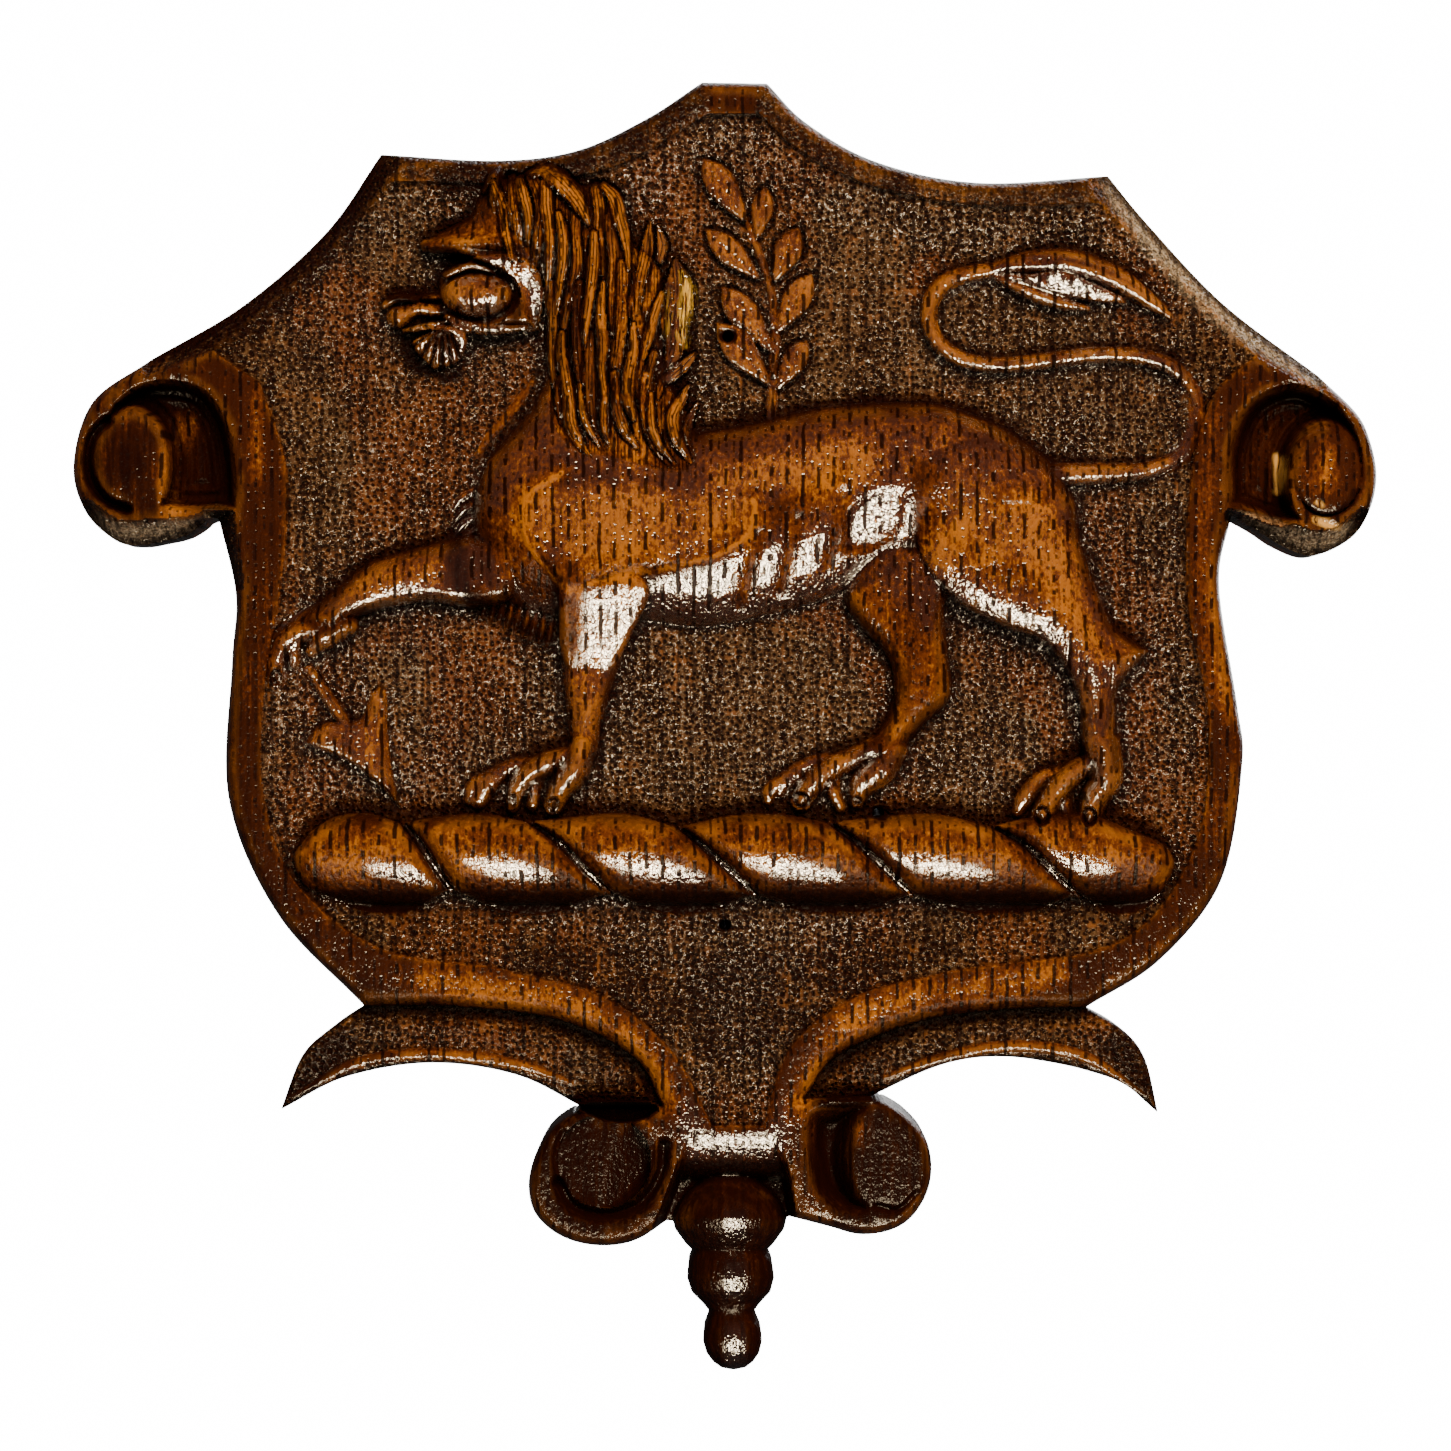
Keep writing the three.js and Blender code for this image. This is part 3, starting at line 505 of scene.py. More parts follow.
# Grooves that wind round the eyes: x, z, then depth and half width
COILS = [
    ([(-123.8, 60.6), (-126.6, 57.6), (-127.6, 53.4), (-126.8, 48.6), (-124, 44.8), (-119.8, 43)], 4, 1.7),
    ([(125.4, 47), (123.2, 43.8), (119.8, 42.4), (116.8, 43.2), (115.6, 45)], 2.6, 1.3),
    ([(-12.6, -84), (-13.4, -90), (-17.4, -95.4), (-24, -97.6), (-30.4, -96), (-33.4, -91.4)], 3.4, 2.2),
    ([(-33.4, -91.4), (-34.2, -86), (-32.6, -81.4)], 1.4, 1.2),
    ([(30, -96), (34.4, -96.6), (38, -93.4)], 1.2, 1.1),
]


def ellipse(x, z, half_x, half_z, sides=40):
    turn = np.linspace(0, 2 * math.pi, sides + 1)
    return np.column_stack([x + half_x * np.cos(turn), z + half_z * np.sin(turn)])


def volutes():
    """Four volutes, cut down beside their eyes, with faint ledges on the walls of the hollows."""
    for runs, depth, wall, painted_shade in RECESSES:
        area, inside = signed(loop(runs), 8)
        ledge = 0.35 * np.sin(inside * 2.6) * ramp(inside - wall, 1)
        H[area] = np.where(inside > 0, RIM - depth * ramp(inside, wall) - ledge, H[area])
        # Painted shade in the hollow, darker away from its wall
        lift(DARK, area, painted_shade * ramp(inside - 0.3 * wall, wall))
        lift(DULL, area, ramp(inside + 0.8, 1.2))
    # Painted shadow in the slots under the ends of the horns
    mark(DARK, [(-31, -74.8, 1.4), (-22, -75, 1.8), (-14, -76.4, 1)], 1.0, 1)
    mark(DARK, [(16, -75.6, 1), (24, -75, 1.8), (30, -74.6, 1.4)], 1.0, 1)
    for x, z, reach in ((-25, -90, 15), (29, -88, 13)):
        mark(DULL, [(x, z, reach)] * 2, 0.95, 2)
    for points, depth, half in COILS:
        groove(points, depth, half)
        # Painted shade in the grooves
        mark(DARK, [(x, z, half * 0.6) for x, z in points], 0.9, 0.6)
    cone_area = window((-114, 46), (-107, 61))
    cone = 15 - 1.7 * np.hypot((X[cone_area] + 115) * 0.9, (Z[cone_area] - 53.6) * 0.62)
    H[cone_area] = np.maximum(H[cone_area], cone)
    DARK[cone_area] *= 1 - ramp(cone - 7.4, 1.2)
    area, inside = signed(ellipse(119.8, 50.4, 6.8, 8.4), 3)
    H[area] = np.where(inside > 0, RIM + 1.1 * dome(inside, 2), H[area])
    swell(-120, 52.6, 6, 8, 0, 0.5)
    lower_left_eye()


def lower_left_eye():
    """A flat eye with a ridge down its middle, and the lit wall beside it."""
    area, inside = signed(ellipse(-24.6, -87, 9.4, 9.2), 3)
    ridge = -23.4 + 0.25 * (Z[area] + 87)
    face = RIM - 1.4 - 0.06 * np.abs(X[area] - ridge) - 0.34 * np.maximum(X[area] - ridge, 0)
    cut_to(area, inside > 0, face)
    wall = [(-16.6, -79.6, 0.8), (-15.2, -83, 1.2), (-15.8, -86.4, 0.8)]
    # Painted light: the wall beside the eye is painted bright orange
    mark(GLOW, wall, 2.0, 0.8)
    clear(DARK, wall, 0.8)


# The drop: half width at each height, about an upright axis that leans a little
DROP_PROFILE = [
    (-89, 4), (-91, 6), (-93, 8.4), (-96, 10.6), (-98.4, 11.4), (-100.5, 10.9), (-103.4, 8.8),
    (-104.8, 7.4), (-107, 8.3), (-110.2, 8.7), (-113, 7.9), (-115.2, 5.8), (-116.8, 4.5), (-118.4, 4.8),
    (-120.4, 5.6), (-122.8, 5.9), (-125.2, 5.3), (-127, 4), (-128.2, 2.4), (-128.6, 0.4),
]
DROP_ROUND = 0.8
COLLAR = -80.6
COLLAR_ROUND = 10.0
CUP_RECESS = [
    [(-8.4, -79.6)],
    [(9.8, -79.6)],
    [(12.4, -88), (14.2, -99.4)],
    [(12.4, -104), (-12, -104), (-15, -100.4)],
    [(-10.4, -88), (-8.4, -79.6)],
]
CUP_SHINE = [
    [(-6, -83.6, 2), (9, -83.6, 2)],
    [(-8, -77.6, 1.6), (-6, -84, 2)],
    [(11, -77.6, 1.6), (9.4, -84, 2)],
]


def drop_axis(z):
    return 0.5 + 0.03 * np.maximum(-103 - z, 0)


def drop_outline():
    right = [(drop_axis(z) + half, z) for z, half in DROP_PROFILE]
    left = [(drop_axis(z) - half, z) for z, half in reversed(DROP_PROFILE)]
    return np.array(right + left + right[:1])


def drop():
    """A cup and two beads, turned round and set against the wall."""
    area, inside = signed(loop(CUP_RECESS), 2)
    bend = np.clip((COLLAR - Z[area]) / COLLAR_ROUND, 0, 1)
    depth = (RIM - CUP_FLOOR) * (1 - np.sqrt(1 - bend ** 2)) * ramp(inside, 2)
    cut_to(area, inside > 0, RIM - depth)
    for points in CUP_SHINE:
        clear(DULL, points, 1.5)
    # Painted shade on the underside of the collar, over the cup
    DARK[area] = np.where(inside > 0, np.maximum(DARK[area], 0.95 * ramp(-Z[area] - 84.6, 3)), DARK[area])
    area, inside = signed(drop_outline(), 3)
    heights, halves = zip(*sorted(DROP_PROFILE))
    half = np.interp(Z[area], heights, halves)
    u = np.clip(np.abs(X[area] - drop_axis(Z[area])) / np.maximum(half, 0.1), 0, 1)
    body = DROP_AXIS + DROP_ROUND * half * np.sqrt(1 - u * u)
    H[area] = np.where(inside > -1, np.maximum(np.where(Z[area] < -99, 0, H[area]), body), H[area])
    MATTED[area] = np.where(inside > -1, 0, MATTED[area])
    turned = (inside > -1) & (Z[area] < -90)
    DARK[area] = np.where(turned, 0.85, DARK[area])
    DULL[area] = np.where(turned, 0.95 * ramp(np.abs(X[area] - 1.7) - 1.4, 1.4), DULL[area])
    for z, reach in ((-93.4, 3.6), (-104.6, 2.4), (-116.4, 2.6)):
        mark(DULL, [(-10, z, reach), (11, z, reach)], 0.95, 0.6)


# The torse: slanting grooves part its lobes
TORSE_GROOVES = [
    [(-84, -21.4), (-87.2, -26.4), (-85, -32), (-79, -35)],
    [(-64.8, -19.4), (-61.6, -23.4), (-58.4, -28.2), (-55, -33)],
    [(-39.6, -19.2), (-34, -23.2), (-28.8, -28.4), (-23.4, -33.6)],
    [(-9.8, -20.2), (-4.6, -24.4), (0.6, -29.2), (5.8, -34)],
    [(20.4, -19.4), (26, -23.6), (31.4, -28.6), (36.8, -34)],
    [(52.6, -20), (59.4, -24), (65, -29.4), (70.2, -34.2)],
    [(82, -21.2), (88, -24), (90, -28), (88, -32.6)],
]
TORSE_TOP = -17.6
TORSE_BOTTOM = -37.4
TORSE_CREST = -23.4
TORSE_ABOVE = 7.6
TORSE_BELOW = 12.4
TORSE_GAP = 0.7
TORSE_SHINE = [
    [(-71, -28.4, 0.4), (-64, -29.8, 1.3), (-57.6, -31.2, 0.4)],
    [(-51.6, -26.8, 0.4), (-44, -28.8, 1.7), (-35.4, -30.4, 0.4)],
    [(-24.6, -26.6, 0.4), (-15, -28.6, 1.6), (-6, -30.8, 0.6)],
    [(3.4, -26.8, 0.4), (12, -28.6, 1.6), (22, -30.6, 0.6)],
    [(32.4, -26.4, 0.4), (41, -28, 1.4), (51, -29.8, 0.4)],
    [(63.4, -26, 0.4), (69, -27.6, 1.5), (76, -28.8, 0.4)],
]


def between(left, right, places):
    """Points at a share of the way from left to right, each at its own height."""
    return [(left[0] * (1 - share) + right[0] * share, z) for share, z in places]


def torse():
    """A bar of slanting lobes with a thin fillet in each groove, like a twisted roll of cloth."""
    for line in TORSE_GROOVES[1:-1]:
        roll([(x, z, half) for (x, z), half in zip(line, (0.5, 1.1, 1.1, 0.5))], 4.2)
    for left, right in zip(TORSE_GROOVES, TORSE_GROOVES[1:]):
        left = [(x + TORSE_GAP, z) for x, z in left]
        right = [(x - TORSE_GAP, z) for x, z in right]
        top = between(left[0], right[0], ((0.3, TORSE_TOP - 0.6), (0.65, TORSE_TOP)))
        foot = between(left[-1], right[-1], ((0.7, TORSE_BOTTOM + 0.4), (0.35, TORSE_BOTTOM)))
        area, inside = signed(loop([right[1:], foot + [left[-1]], left[-2::-1], top + [right[0]]]), 6)
        across = Z[area] - TORSE_CREST
        across = np.clip(np.where(across > 0, across / TORSE_ABOVE, -across / TORSE_BELOW), 0, 1)
        lobe = TORSE_RELIEF * np.sqrt(1 - across ** 2) * (0.5 + 0.5 * dome(inside, 3.4))
        raise_inside(area, inside, FIELD + lobe, 0.3)
        # Painted shade on the lower part of each lobe, along its edges and along its top; the glow layer
        # paints its middle lighter, as painted light
        painted_shade = np.maximum(0.9 * ramp(-31 - Z[area], 3), 0.5 * (1 - ramp(inside - 0.2, 1)))
        painted_shade = np.maximum(painted_shade, 0.7 * ramp(Z[area] + 21.6, 3.4))
        lift(DULL, area, ramp(inside, 0.5))
        DARK[area] = np.where(inside > 0, painted_shade, DARK[area])
        lit = ramp(inside - 1, 3) * ramp(Z[area] + 31, 3) * (1 - 0.6 * ramp(Z[area] + 26, 4))
        lift(GLOW, area, lit)
    for line in TORSE_SHINE:
        clear(DULL, line, 1.1)
    mark(DULL, [(-86, -37.4, 1.4), (90, -37.4, 1.4)], 1.0, 0.8)


# The lion

BODY = loop([
    [(-39.4, 63), (-44.4, 57), (-48.4, 52), (-50.6, 45), (-50.8, 39), (-49.8, 33), (-47.4, 28), (-43.4, 24),
     (-35, 21.4)],
    [(-26, 20), (-16.4, 20.6), (-5.4, 19.4), (4.6, 21), (14.6, 23.4), (24.6, 27), (34.6, 31), (42, 33)],
    [(56, 30), (68, 40), (69, 46), (64.6, 52.6), (56.6, 58.6), (50.6, 61.4), (42.6, 64), (34.6, 64.4),
     (24.6, 64), (14.6, 62.6), (4.6, 60.2), (-6, 58.4)],
    [(-10, 66), (-14, 78), (-24, 84), (-34, 80), (-36.4, 69)],
])

NEAR_HIND = loop([
    [(37.2, 36.6), (40, 30.2), (46.4, 23.8), (55.6, 19.2), (62.8, 16.4), (67.4, 10.8), (69.8, 4.4),
     (70.4, -3), (72.4, -8), (78, -9), (77.8, -3), (78, 5), (78.8, 8), (81.6, 11.4)],
    [(84.4, 14.8)],
    [(80.6, 17), (77.2, 20), (74.6, 26), (72.2, 32), (70.2, 39), (69, 46), (62, 54), (50, 57), (40, 53),
     (36.2, 45.8)],
])

FAR_HIND = loop([
    [(23.4, 26.4), (26.2, 20), (31.2, 14.6), (33.2, 9), (32.2, 2.6), (29, -3), (26, -7), (33.4, -8),
     (35.4, -4.8), (39, -0.2), (44.6, 5.4), (44.2, 13.6), (43.6, 22.8), (46, 34), (30, 38)],
])

NEAR_FORE = loop([
    [(-33.4, 21), (-33.2, 13), (-32.4, 5), (-31.6, -2), (-31.6, -7), (-26.4, -7), (-25, -1), (-23, 7),
     (-20.4, 14), (-17.4, 21), (-14, 30), (-16, 44), (-26, 50), (-36, 46), (-37, 34)],
])

RAISED_FORE = loop([
    [(-59.4, 36), (-65.4, 34.4), (-71.4, 32.4), (-77.4, 27.6), (-81.4, 24.6), (-84, 21), (-80, 18),
     (-77.8, 18.4), (-75.4, 20.6), (-70.4, 22.6), (-65.4, 23.6), (-59.4, 24.4), (-50, 23.4), (-42, 26),
     (-42, 36), (-52, 38)],
])


BELLY = profile([(0, 0), (0.4, 1.4), (2, 3), (6.2, 6.2), (12.6, 8.7), (15, 9.1), (18, 9.2)])
BACK = profile([(0, 0), (0.6, 3.2), (1.6, 5.2), (3, 6.7), (5, 8), (8, 8.9), (11, 9.2), (18, 9.2)])
THIGH = profile([(0, 0), (0.4, 5), (1, 7.3), (4, 8.6), (5.2, 8.9), (9, 9.1), (12, 9.3), (18, 9.5)])
SHOULDER_RIDGE = [(-33, 50.3), (-40.6, 45), (-40.2, 37), (-35.8, 31), (-33, 27.4), (-30, 27.4), (-24, 29.2),
                  (-18.6, 31), (-15, 30.4), (-9.6, 31.9), (-2.4, 33.7), (3, 36.8), (5.3, 40.4), (5.3, 45)]
SHOULDER = loop([
    [(-41, 45), (-40.6, 37), (-36, 31), (-33, 27.2), (-29, 27.2), (-24, 28.8), (-18.6, 30.6), (-15, 30.2),
     (-9.6, 31.6), (-2.4, 33.4), (3.2, 36.6), (5.6, 41), (5.4, 46), (-2, 48.4), (-12, 48), (-20, 49),
     (-27, 51.2), (-34, 50.4)],
])

FLANK = loop([[(23.6, 43), (29, 47.4), (36, 48)], [(36.4, 44), (34.4, 37), (28.4, 33.4), (22, 34.6)]])
UPPER_ARM = loop([
    [(-33.6, 24), (-32.8, 13), (-28.4, 9.4), (-23.6, 10), (-18.6, 19), (-15.4, 27), (-20, 30.6), (-26, 29),
     (-33, 32)],
])
BELLY_SHADE = [(-14, 22.6, 1.6), (-4, 21.6, 1.8), (6, 23.6, 1.8), (16, 26.4, 1.8), (26, 31, 1.8),
               (34, 36, 1.4)]
BACK_SHADE = [(-2, 58, 1), (14, 61.4, 1.6), (30, 63, 1.8), (46, 62, 1.8), (58, 57, 1.8), (67, 47, 1.4)]


def legs_behind():
    form(FAR_HIND, FAR_LEG_RELIEF, low=4, up=4)
    swell(38, 16, 3.4, 9, -4, 0.9)
    # Painted shadow of the belly on the top of the far hind leg
    mark(DARK, [(37, 30, 5), (38, 22, 4)], 0.5, 4)
    form(RAISED_FORE, 6.4, low=3, up=4.6)
    swell(-66, 29, 9, 2.4, 16, 0.6)
    mark(DARK, [(-84, 24, 1), (-76, 30, 1.4), (-64, 34.4, 1.6), (-52, 36.4, 1.6)], 0.55, 1.5)
    mark(DULL, [(-84, 20, 2.4), (-76, 20.6, 2.2), (-72.6, 22, 2)], 0.9, 1)
    mark(DULL, [(-50, 24, 2.8), (-43, 24, 2.6)], 1.0, 1)
    mark(DULL, [(28, 24, 4), (36, 14, 6), (38, 3, 5), (31, -3, 3)], 0.95, 1.5)


def body():
    """Trunk, neck and chest, with the muscles that show."""
    area, inside = signed(BODY, 18)
    up = facing_up(inside)
    section = BELLY(inside) * (1 - up) + BACK(inside) * up
    raise_inside(area, inside, FIELD + section, 0.3)
    painted_shade_edge(area, inside, 5)
    swell(54, 44, 10, 12, 20, 0.7)
    swell(-38, 38, 8, 12, -10, 0.4)
    area, inside = signed(SHOULDER, 5)
    plane = FIELD + BODY_RELIEF + 0.2 + 0.3 * ramp(inside, 5)
    bend_to(area, plane, ramp(inside, 1.6))
    mark(GLOW, [(x, z, 0.5) for x, z in SHOULDER_RIDGE], 2.2, 0.6)
    groove(SHOULDER_RIDGE, -0.3, 0.8)
    for x, z in ((4.4, 30), (12.2, 33), (21.8, 38)):
        groove([(x - 1.6, z - 6), (x, z), (x + 1.6, z + 8)], 0.6, 2.4)
        mark(DULL, [(x - 1.4, z - 6, 1.4), (x, z, 1.5), (x + 1.6, z + 7, 1.4)], 1.0, 0.8)
    mark(DULL, [(-2, 38, 2), (7, 41, 2.6), (16, 45, 3), (22, 49.6, 2.4)], 1.0, 1.2)
    mark(DULL, [(-50, 25, 2.6), (-44, 20, 2.6), (-36, 17.4, 2.4)], 1.0, 1)
    mark(DULL, [(20.6, 34.4, 1.2), (28, 35, 1.2), (33, 37, 1)], 0.9, 0.8)
    swell(22, 44, 12, 6, 14, -0.35)
    area, inside = signed(FLANK, 4)
    flank = FIELD + BODY_RELIEF - 0.2 + 0.3 * (Z[area] - 48)
    bend_to(area, flank, ramp(inside, 2.5))
    mark(DULL, [(39.8, 50, 3), (39.4, 40, 2.6), (38.6, 36, 2)], 1.0, 0.8)
    mark(DARK, BELLY_SHADE, 0.7, 1.6)
    mark(DULL, [(-47, 40, 3), (-42, 34, 4), (-36, 28, 4), (-30, 31, 2)], 1.0, 1.5)
    mark(DULL, [(x, z, 1.8) for x, z in SHOULDER_RIDGE], 1.0, 0.7)
    mark(DULL, [(-33, 31, 2.4), (-24, 33, 2.6), (-16, 34, 2.4)], 0.95, 1)
    mark(DARK, BACK_SHADE, 0.56, 2.5)


def upper_arm():
    """Below the shoulder the near foreleg slopes back to a rounded end above the shin."""
    area, inside = signed(UPPER_ARM, 4)
    slope = FIELD + BODY_RELIEF + 0.2 - 0.31 * np.maximum(28 - Z[area], 0) - 1.4 * (1 - dome(inside, 1.6))
    raise_inside(area, inside, slope, 0.5)
    mark(DULL, [(-31.4, 29, 3.6), (-31.2, 20, 3.2), (-30.8, 13, 1.8)], 1.0, 1.8)
    mark(DULL, [(-31, 29, 2), (-24, 29.4, 2.2), (-19, 29.6, 1.6)], 1.0, 1.2)


def near_legs():
    area, inside = signed(NEAR_HIND, 18)
    up = facing_up(inside)
    raise_inside(area, inside, FIELD + THIGH(inside) * (1 - up) + BACK(inside) * up, 0.6)
    painted_shade_edge(area, inside, 2.5)
    swell(54, 40, 9, 9, 30, 0.4)
    mark(DULL, [(45, 38, 2.4), (53, 32, 3), (62, 28, 3), (68, 22, 2)], 0.85, 1.2)
    mark(DULL, [(55, 45, 3), (62, 45, 2)], 0.9, 1)
    swell(72, 13, 1.6, 6, 10, 0.5)
    groove([(70, 26), (74, 18), (79, 14.4)], 0.8, 2.4)
    area, inside = signed(NEAR_FORE, 4.6)
    rise = 4.1 + 1.3 * (1 - ramp(Z[area] - 4, 8)) + 4.6 * ramp(Z[area] - 22, 10)
    raise_inside(area, inside, FIELD + rise * dome(inside, 4.4), 0.6)
    painted_shade_edge(area, inside, 2)
    upper_arm()


def claw(x, z, half_x, half_z, tilt=0.0):
    """A claw set in an oval cut at the tip of a toe."""
    turn = math.radians(tilt)
    ring = ellipse(0, 0, half_x, half_z, 20)
    line = np.column_stack([x + ring[:, 0] * math.cos(turn) - ring[:, 1] * math.sin(turn),
                            z + ring[:, 0] * math.sin(turn) + ring[:, 1] * math.cos(turn)])
    area, inside = signed(line, 1.4)
    rim = 0.5 * (1 - ramp(np.abs(inside), 0.45))
    H[area] += rim - 1.5 * ramp(inside, 0.7) + 1.4 * ramp(inside - 0.75, 0.5)
    # Painted shade in the oval cut
    lift(DARK, area, 0.7 * ramp(inside, 0.3) * (1 - ramp(inside - 0.6, 0.5)))


def paws():
    """Four paws of arched toes with claws."""
    near_rise, far_rise = NEAR_LEG_RELIEF, FAR_LEG_RELIEF
    # near forepaw
    roll([(-40, -7.4, 1.2), (-43.6, -8.6, 1.6), (-48, -12, 2.4), (-49.6, -15, 2.0)], 3.4)
    roll([(-44, -9, 1), (-50, -11.8, 1.6), (-51.4, -15, 1.2)], 2.8)
    roll([(-36, -8, 1.2), (-38, -12, 1.5), (-38.8, -16, 1.3)], 3.6)
    roll([(-31, -5.4, 1.6), (-35.6, -7.6, 2.6), (-39.6, -9.8, 2.6), (-42, -13, 2.1), (-42.8, -16.4, 1.4)],
         6.4)
    roll([(-29, -4, 2.6), (-30.4, -9, 3.4), (-33, -12.4, 2.8), (-34.6, -16, 2.2)], near_rise + 0.4)
    claw(-34.7, -16, 1.5, 2, -8)
    claw(-42.8, -15.2, 1.0, 1.8, -10)
    # farther hind paw
    roll([(20, -6.4, 1), (16.6, -7.8, 1.6), (11.6, -11.4, 2), (10.6, -13.4, 1.2)], 2.8)
    roll([(13, -10, 1.2), (8.8, -13, 1.7), (8.2, -15, 1.2)], 2.8)
    roll([(31, -4, 2.4), (25, -6.8, 2.4), (20, -9.2, 2.8), (16.6, -12.4, 2.7), (14.8, -15.4, 2.1)], 5.4)
    roll([(22, -9.6, 1.2), (21.2, -13, 1.6), (22.6, -16.4, 1.2)], 3.2)
    roll([(33.6, -5, 2.6), (30.6, -9, 3.4), (27, -12, 3), (25.8, -15, 1.7)], far_rise + 0.6)
    claw(14.8, -15, 2.1, 1.9, -30)
    claw(26, -15.1, 1.2, 1.2)
    # nearer hind paw
    roll([(66, -9.4, 1.2), (62.4, -11, 1.8), (59.4, -14.6, 2), (58, -17.4, 1.3)], 3.8)
    roll([(67.6, -14, 1.4), (67.4, -18, 1.5)], 3.6)
    roll([(73, -7, 2), (69, -9.8, 2.6), (65.6, -13.4, 2.7), (62.9, -18, 2.6)], near_rise - 1)
    roll([(75, -4, 3.6), (75.6, -10.6, 3.5), (73.4, -14.6, 3), (72.4, -18.2, 2.5)], near_rise + 0.4)
    claw(62.8, -18.2, 1.9, 2.3, -6)
    claw(72.3, -18.3, 1.8, 2.3)
    # raised forepaw
    roll([(-82, 22, 2.4), (-88, 18.6, 2), (-93, 12.4, 1), (-93.2, 9, 0.7)], 3)
    roll([(-80, 20, 2.8), (-87, 17.6, 2.6), (-90, 13, 2.2), (-89.8, 9.2, 1.8)], 5.6)
    roll([(-82, 21, 2.4), (-86, 16.6, 1.8), (-86.4, 12, 1.4)], 5.2)
    roll([(-76, 20, 2.6), (-80.6, 17.6, 3), (-82.8, 14.8, 1.6)], 6)
    claw(-89.9, 9.6, 1.3, 1.9, 8)


def tail():
    line = [(62, 49.6, 2.6), (70, 50, 2.4), (78, 50.2, 2), (84.6, 51, 1.8), (90.6, 54, 1.7), (93.4, 59, 1.7),
            (93.8, 64, 1.7), (92.2, 68, 1.7), (88.6, 71.4, 1.7), (82.6, 73.4, 1.7), (74.6, 73.8, 1.7),
            (66.6, 73, 1.7), (58.6, 72, 1.7), (52.6, 71.8, 1.7), (46.6, 73, 1.7), (42, 76.4, 1.7),
            (40.2, 81, 1.8), (41, 85.2, 1.9), (44, 88.4, 1.9), (49, 90, 1.8), (56, 91, 1.6)]
    roll(line, TAIL_RELIEF, spacing=0.8)
    roll([(52, 90.6, 1.2), (60, 92, 2.6), (69, 92, 3), (78, 88.6, 2.6), (85, 84, 1.6), (88.4, 81.4, 0.6)], 5)
    roll([(56, 89.6, 1.4), (64, 87.8, 2.4), (72, 86.6, 2.2), (79, 84.6, 0.8)], 4.2)
    roll([(54, 89.4, 1.1), (60, 86.6, 1.7), (66, 84.4, 1.6), (72, 83, 0.6)], 3.6)
    for points in (
        [(56, 90.4), (64, 90), (73, 88.4), (82, 84)],
        [(57, 88.6), (64, 86.6), (72, 84.6)],
        [(60, 92.6), (68, 92.8), (76, 90.4), (84, 86)],
    ):
        groove(points, 0.6, 0.9)
    blade = loop([[(60, 90), (67, 90.6), (74, 88), (80.4, 85)], [(75, 84.2), (67, 85.8), (59, 89)]])
    area, inside = signed(blade, 2)
    plane = FIELD + 3.6 + LEAN * (Z[area] - 87.4)
    bend_to(area, plane, ramp(inside, 0.6))


# Leaves of the sprig: tip, base and half width
LEAVES = [
    [(-4.8, 113), (3.6, 100.6), 3.1],
    [(7.8, 107.4), (6, 97), 2.3],
    [(-4.4, 98.8), (6.4, 89), 2.7],
    [(14.2, 99.2), (9.4, 88.6), 2.9],
    [(-1.2, 87.4), (9, 74.6), 3.2],
    [(17, 90), (10, 78.4), 2.9],
    [(-2.2, 80.4), (8.4, 68), 3.2],
    [(16, 76.8), (10, 67), 2.5],
]


def leaf(tip, base, half):
    """A pointed leaf set into the ground, with a crease along its middle."""
    tip, base = np.array(tip, float), np.array(base, float)
    along = base - tip
    across = np.array([along[1], -along[0]]) / np.hypot(*along)
    stations = [(0, 0), (0.2, 0.75), (0.45, 1), (0.7, 0.7), (1, 0.14)]
    right = [tip + along * t + across * half * w for t, w in stations]
    left = [tip + along * t - across * half * w for t, w in reversed(stations[1:])]
    area, inside = signed(loop([right[1:], left + [right[0]]]), 2)
    H[area] -= 0.8 * (1 - ramp(np.abs(inside + 0.3), 0.9))
    face = FIELD + 0.2 + SPRIG_RELIEF * (0.75 * dome(inside, 0.7) + 0.25 * dome(inside, 2))
    fill_to(area, inside > 0, face)
    smooth_skin(area, inside)
    groove([tip + along * 0.1, tip + along * 0.95], 0.3, 0.45)
    mark(GLOW, [(*(tip + along * 0.2), 0.6 * half), (*(tip + along * 0.8), 0.5 * half)], 0.8, 1.2)


def sprig():
    stem = [(8.6, 60, 1.1), (9.2, 70, 1.1), (9.6, 80, 1), (8.4, 88, 0.9), (6, 95, 0.8), (4, 101, 0.6)]
    roll(stem, SPRIG_RELIEF)
    for tip, base, half in LEAVES:
        leaf(tip, base, half)


def arrow():
    """A barbed arrow head on a short shaft under the raised paw."""
    head = loop([
        [(-83, -1.4), (-80, 0.6), (-75, 1), (-73, 1.6), (-71.4, 5.6), (-69.6, 7.7), (-67.8, 7)],
        [(-67.6, 0), (-67, -6), (-66, -12), (-64.6, -17.2)],
        [(-70, -12), (-76, -7.4), (-84.6, -4)],
    ])
    area, inside = signed(head, 3)
    facing = np.gradient(inside, axis=0) / STEP
    width = np.where(facing > 0, 1.2, 2.2)
    height = FIELD + ARROW_RELIEF * (0.55 * ramp(inside, 0.5) + 0.45 * ramp(inside, width))
    fill_to(area, inside > 0, height)
    smooth_skin(area, inside)
    groove([(-70, 7), (-69.2, 3), (-70.4, 0)], 0.7, 0.7)
    roll([(-83.4, 11, 1), (-79.4, 5, 1.3), (-76, 0, 1.3)], 2.6)
    groove([(-82.4, 9.6), (-77.2, 2)], 0.6, 0.5)


# Head and mane

MANE_BED = loop([
    [(-36.2, 69), (-35, 60), (-30, 54.6), (-22, 53), (-12, 50.4), (-7, 52), (-8, 62), (-13, 70), (-12, 80),
     (-14, 92), (-19.4, 96), (-21, 102), (-24, 107.6), (-29, 107.6), (-32, 110), (-38, 110.6), (-44, 109),
     (-47, 104), (-44, 98), (-40, 94), (-36.6, 88), (-36, 80)],
])

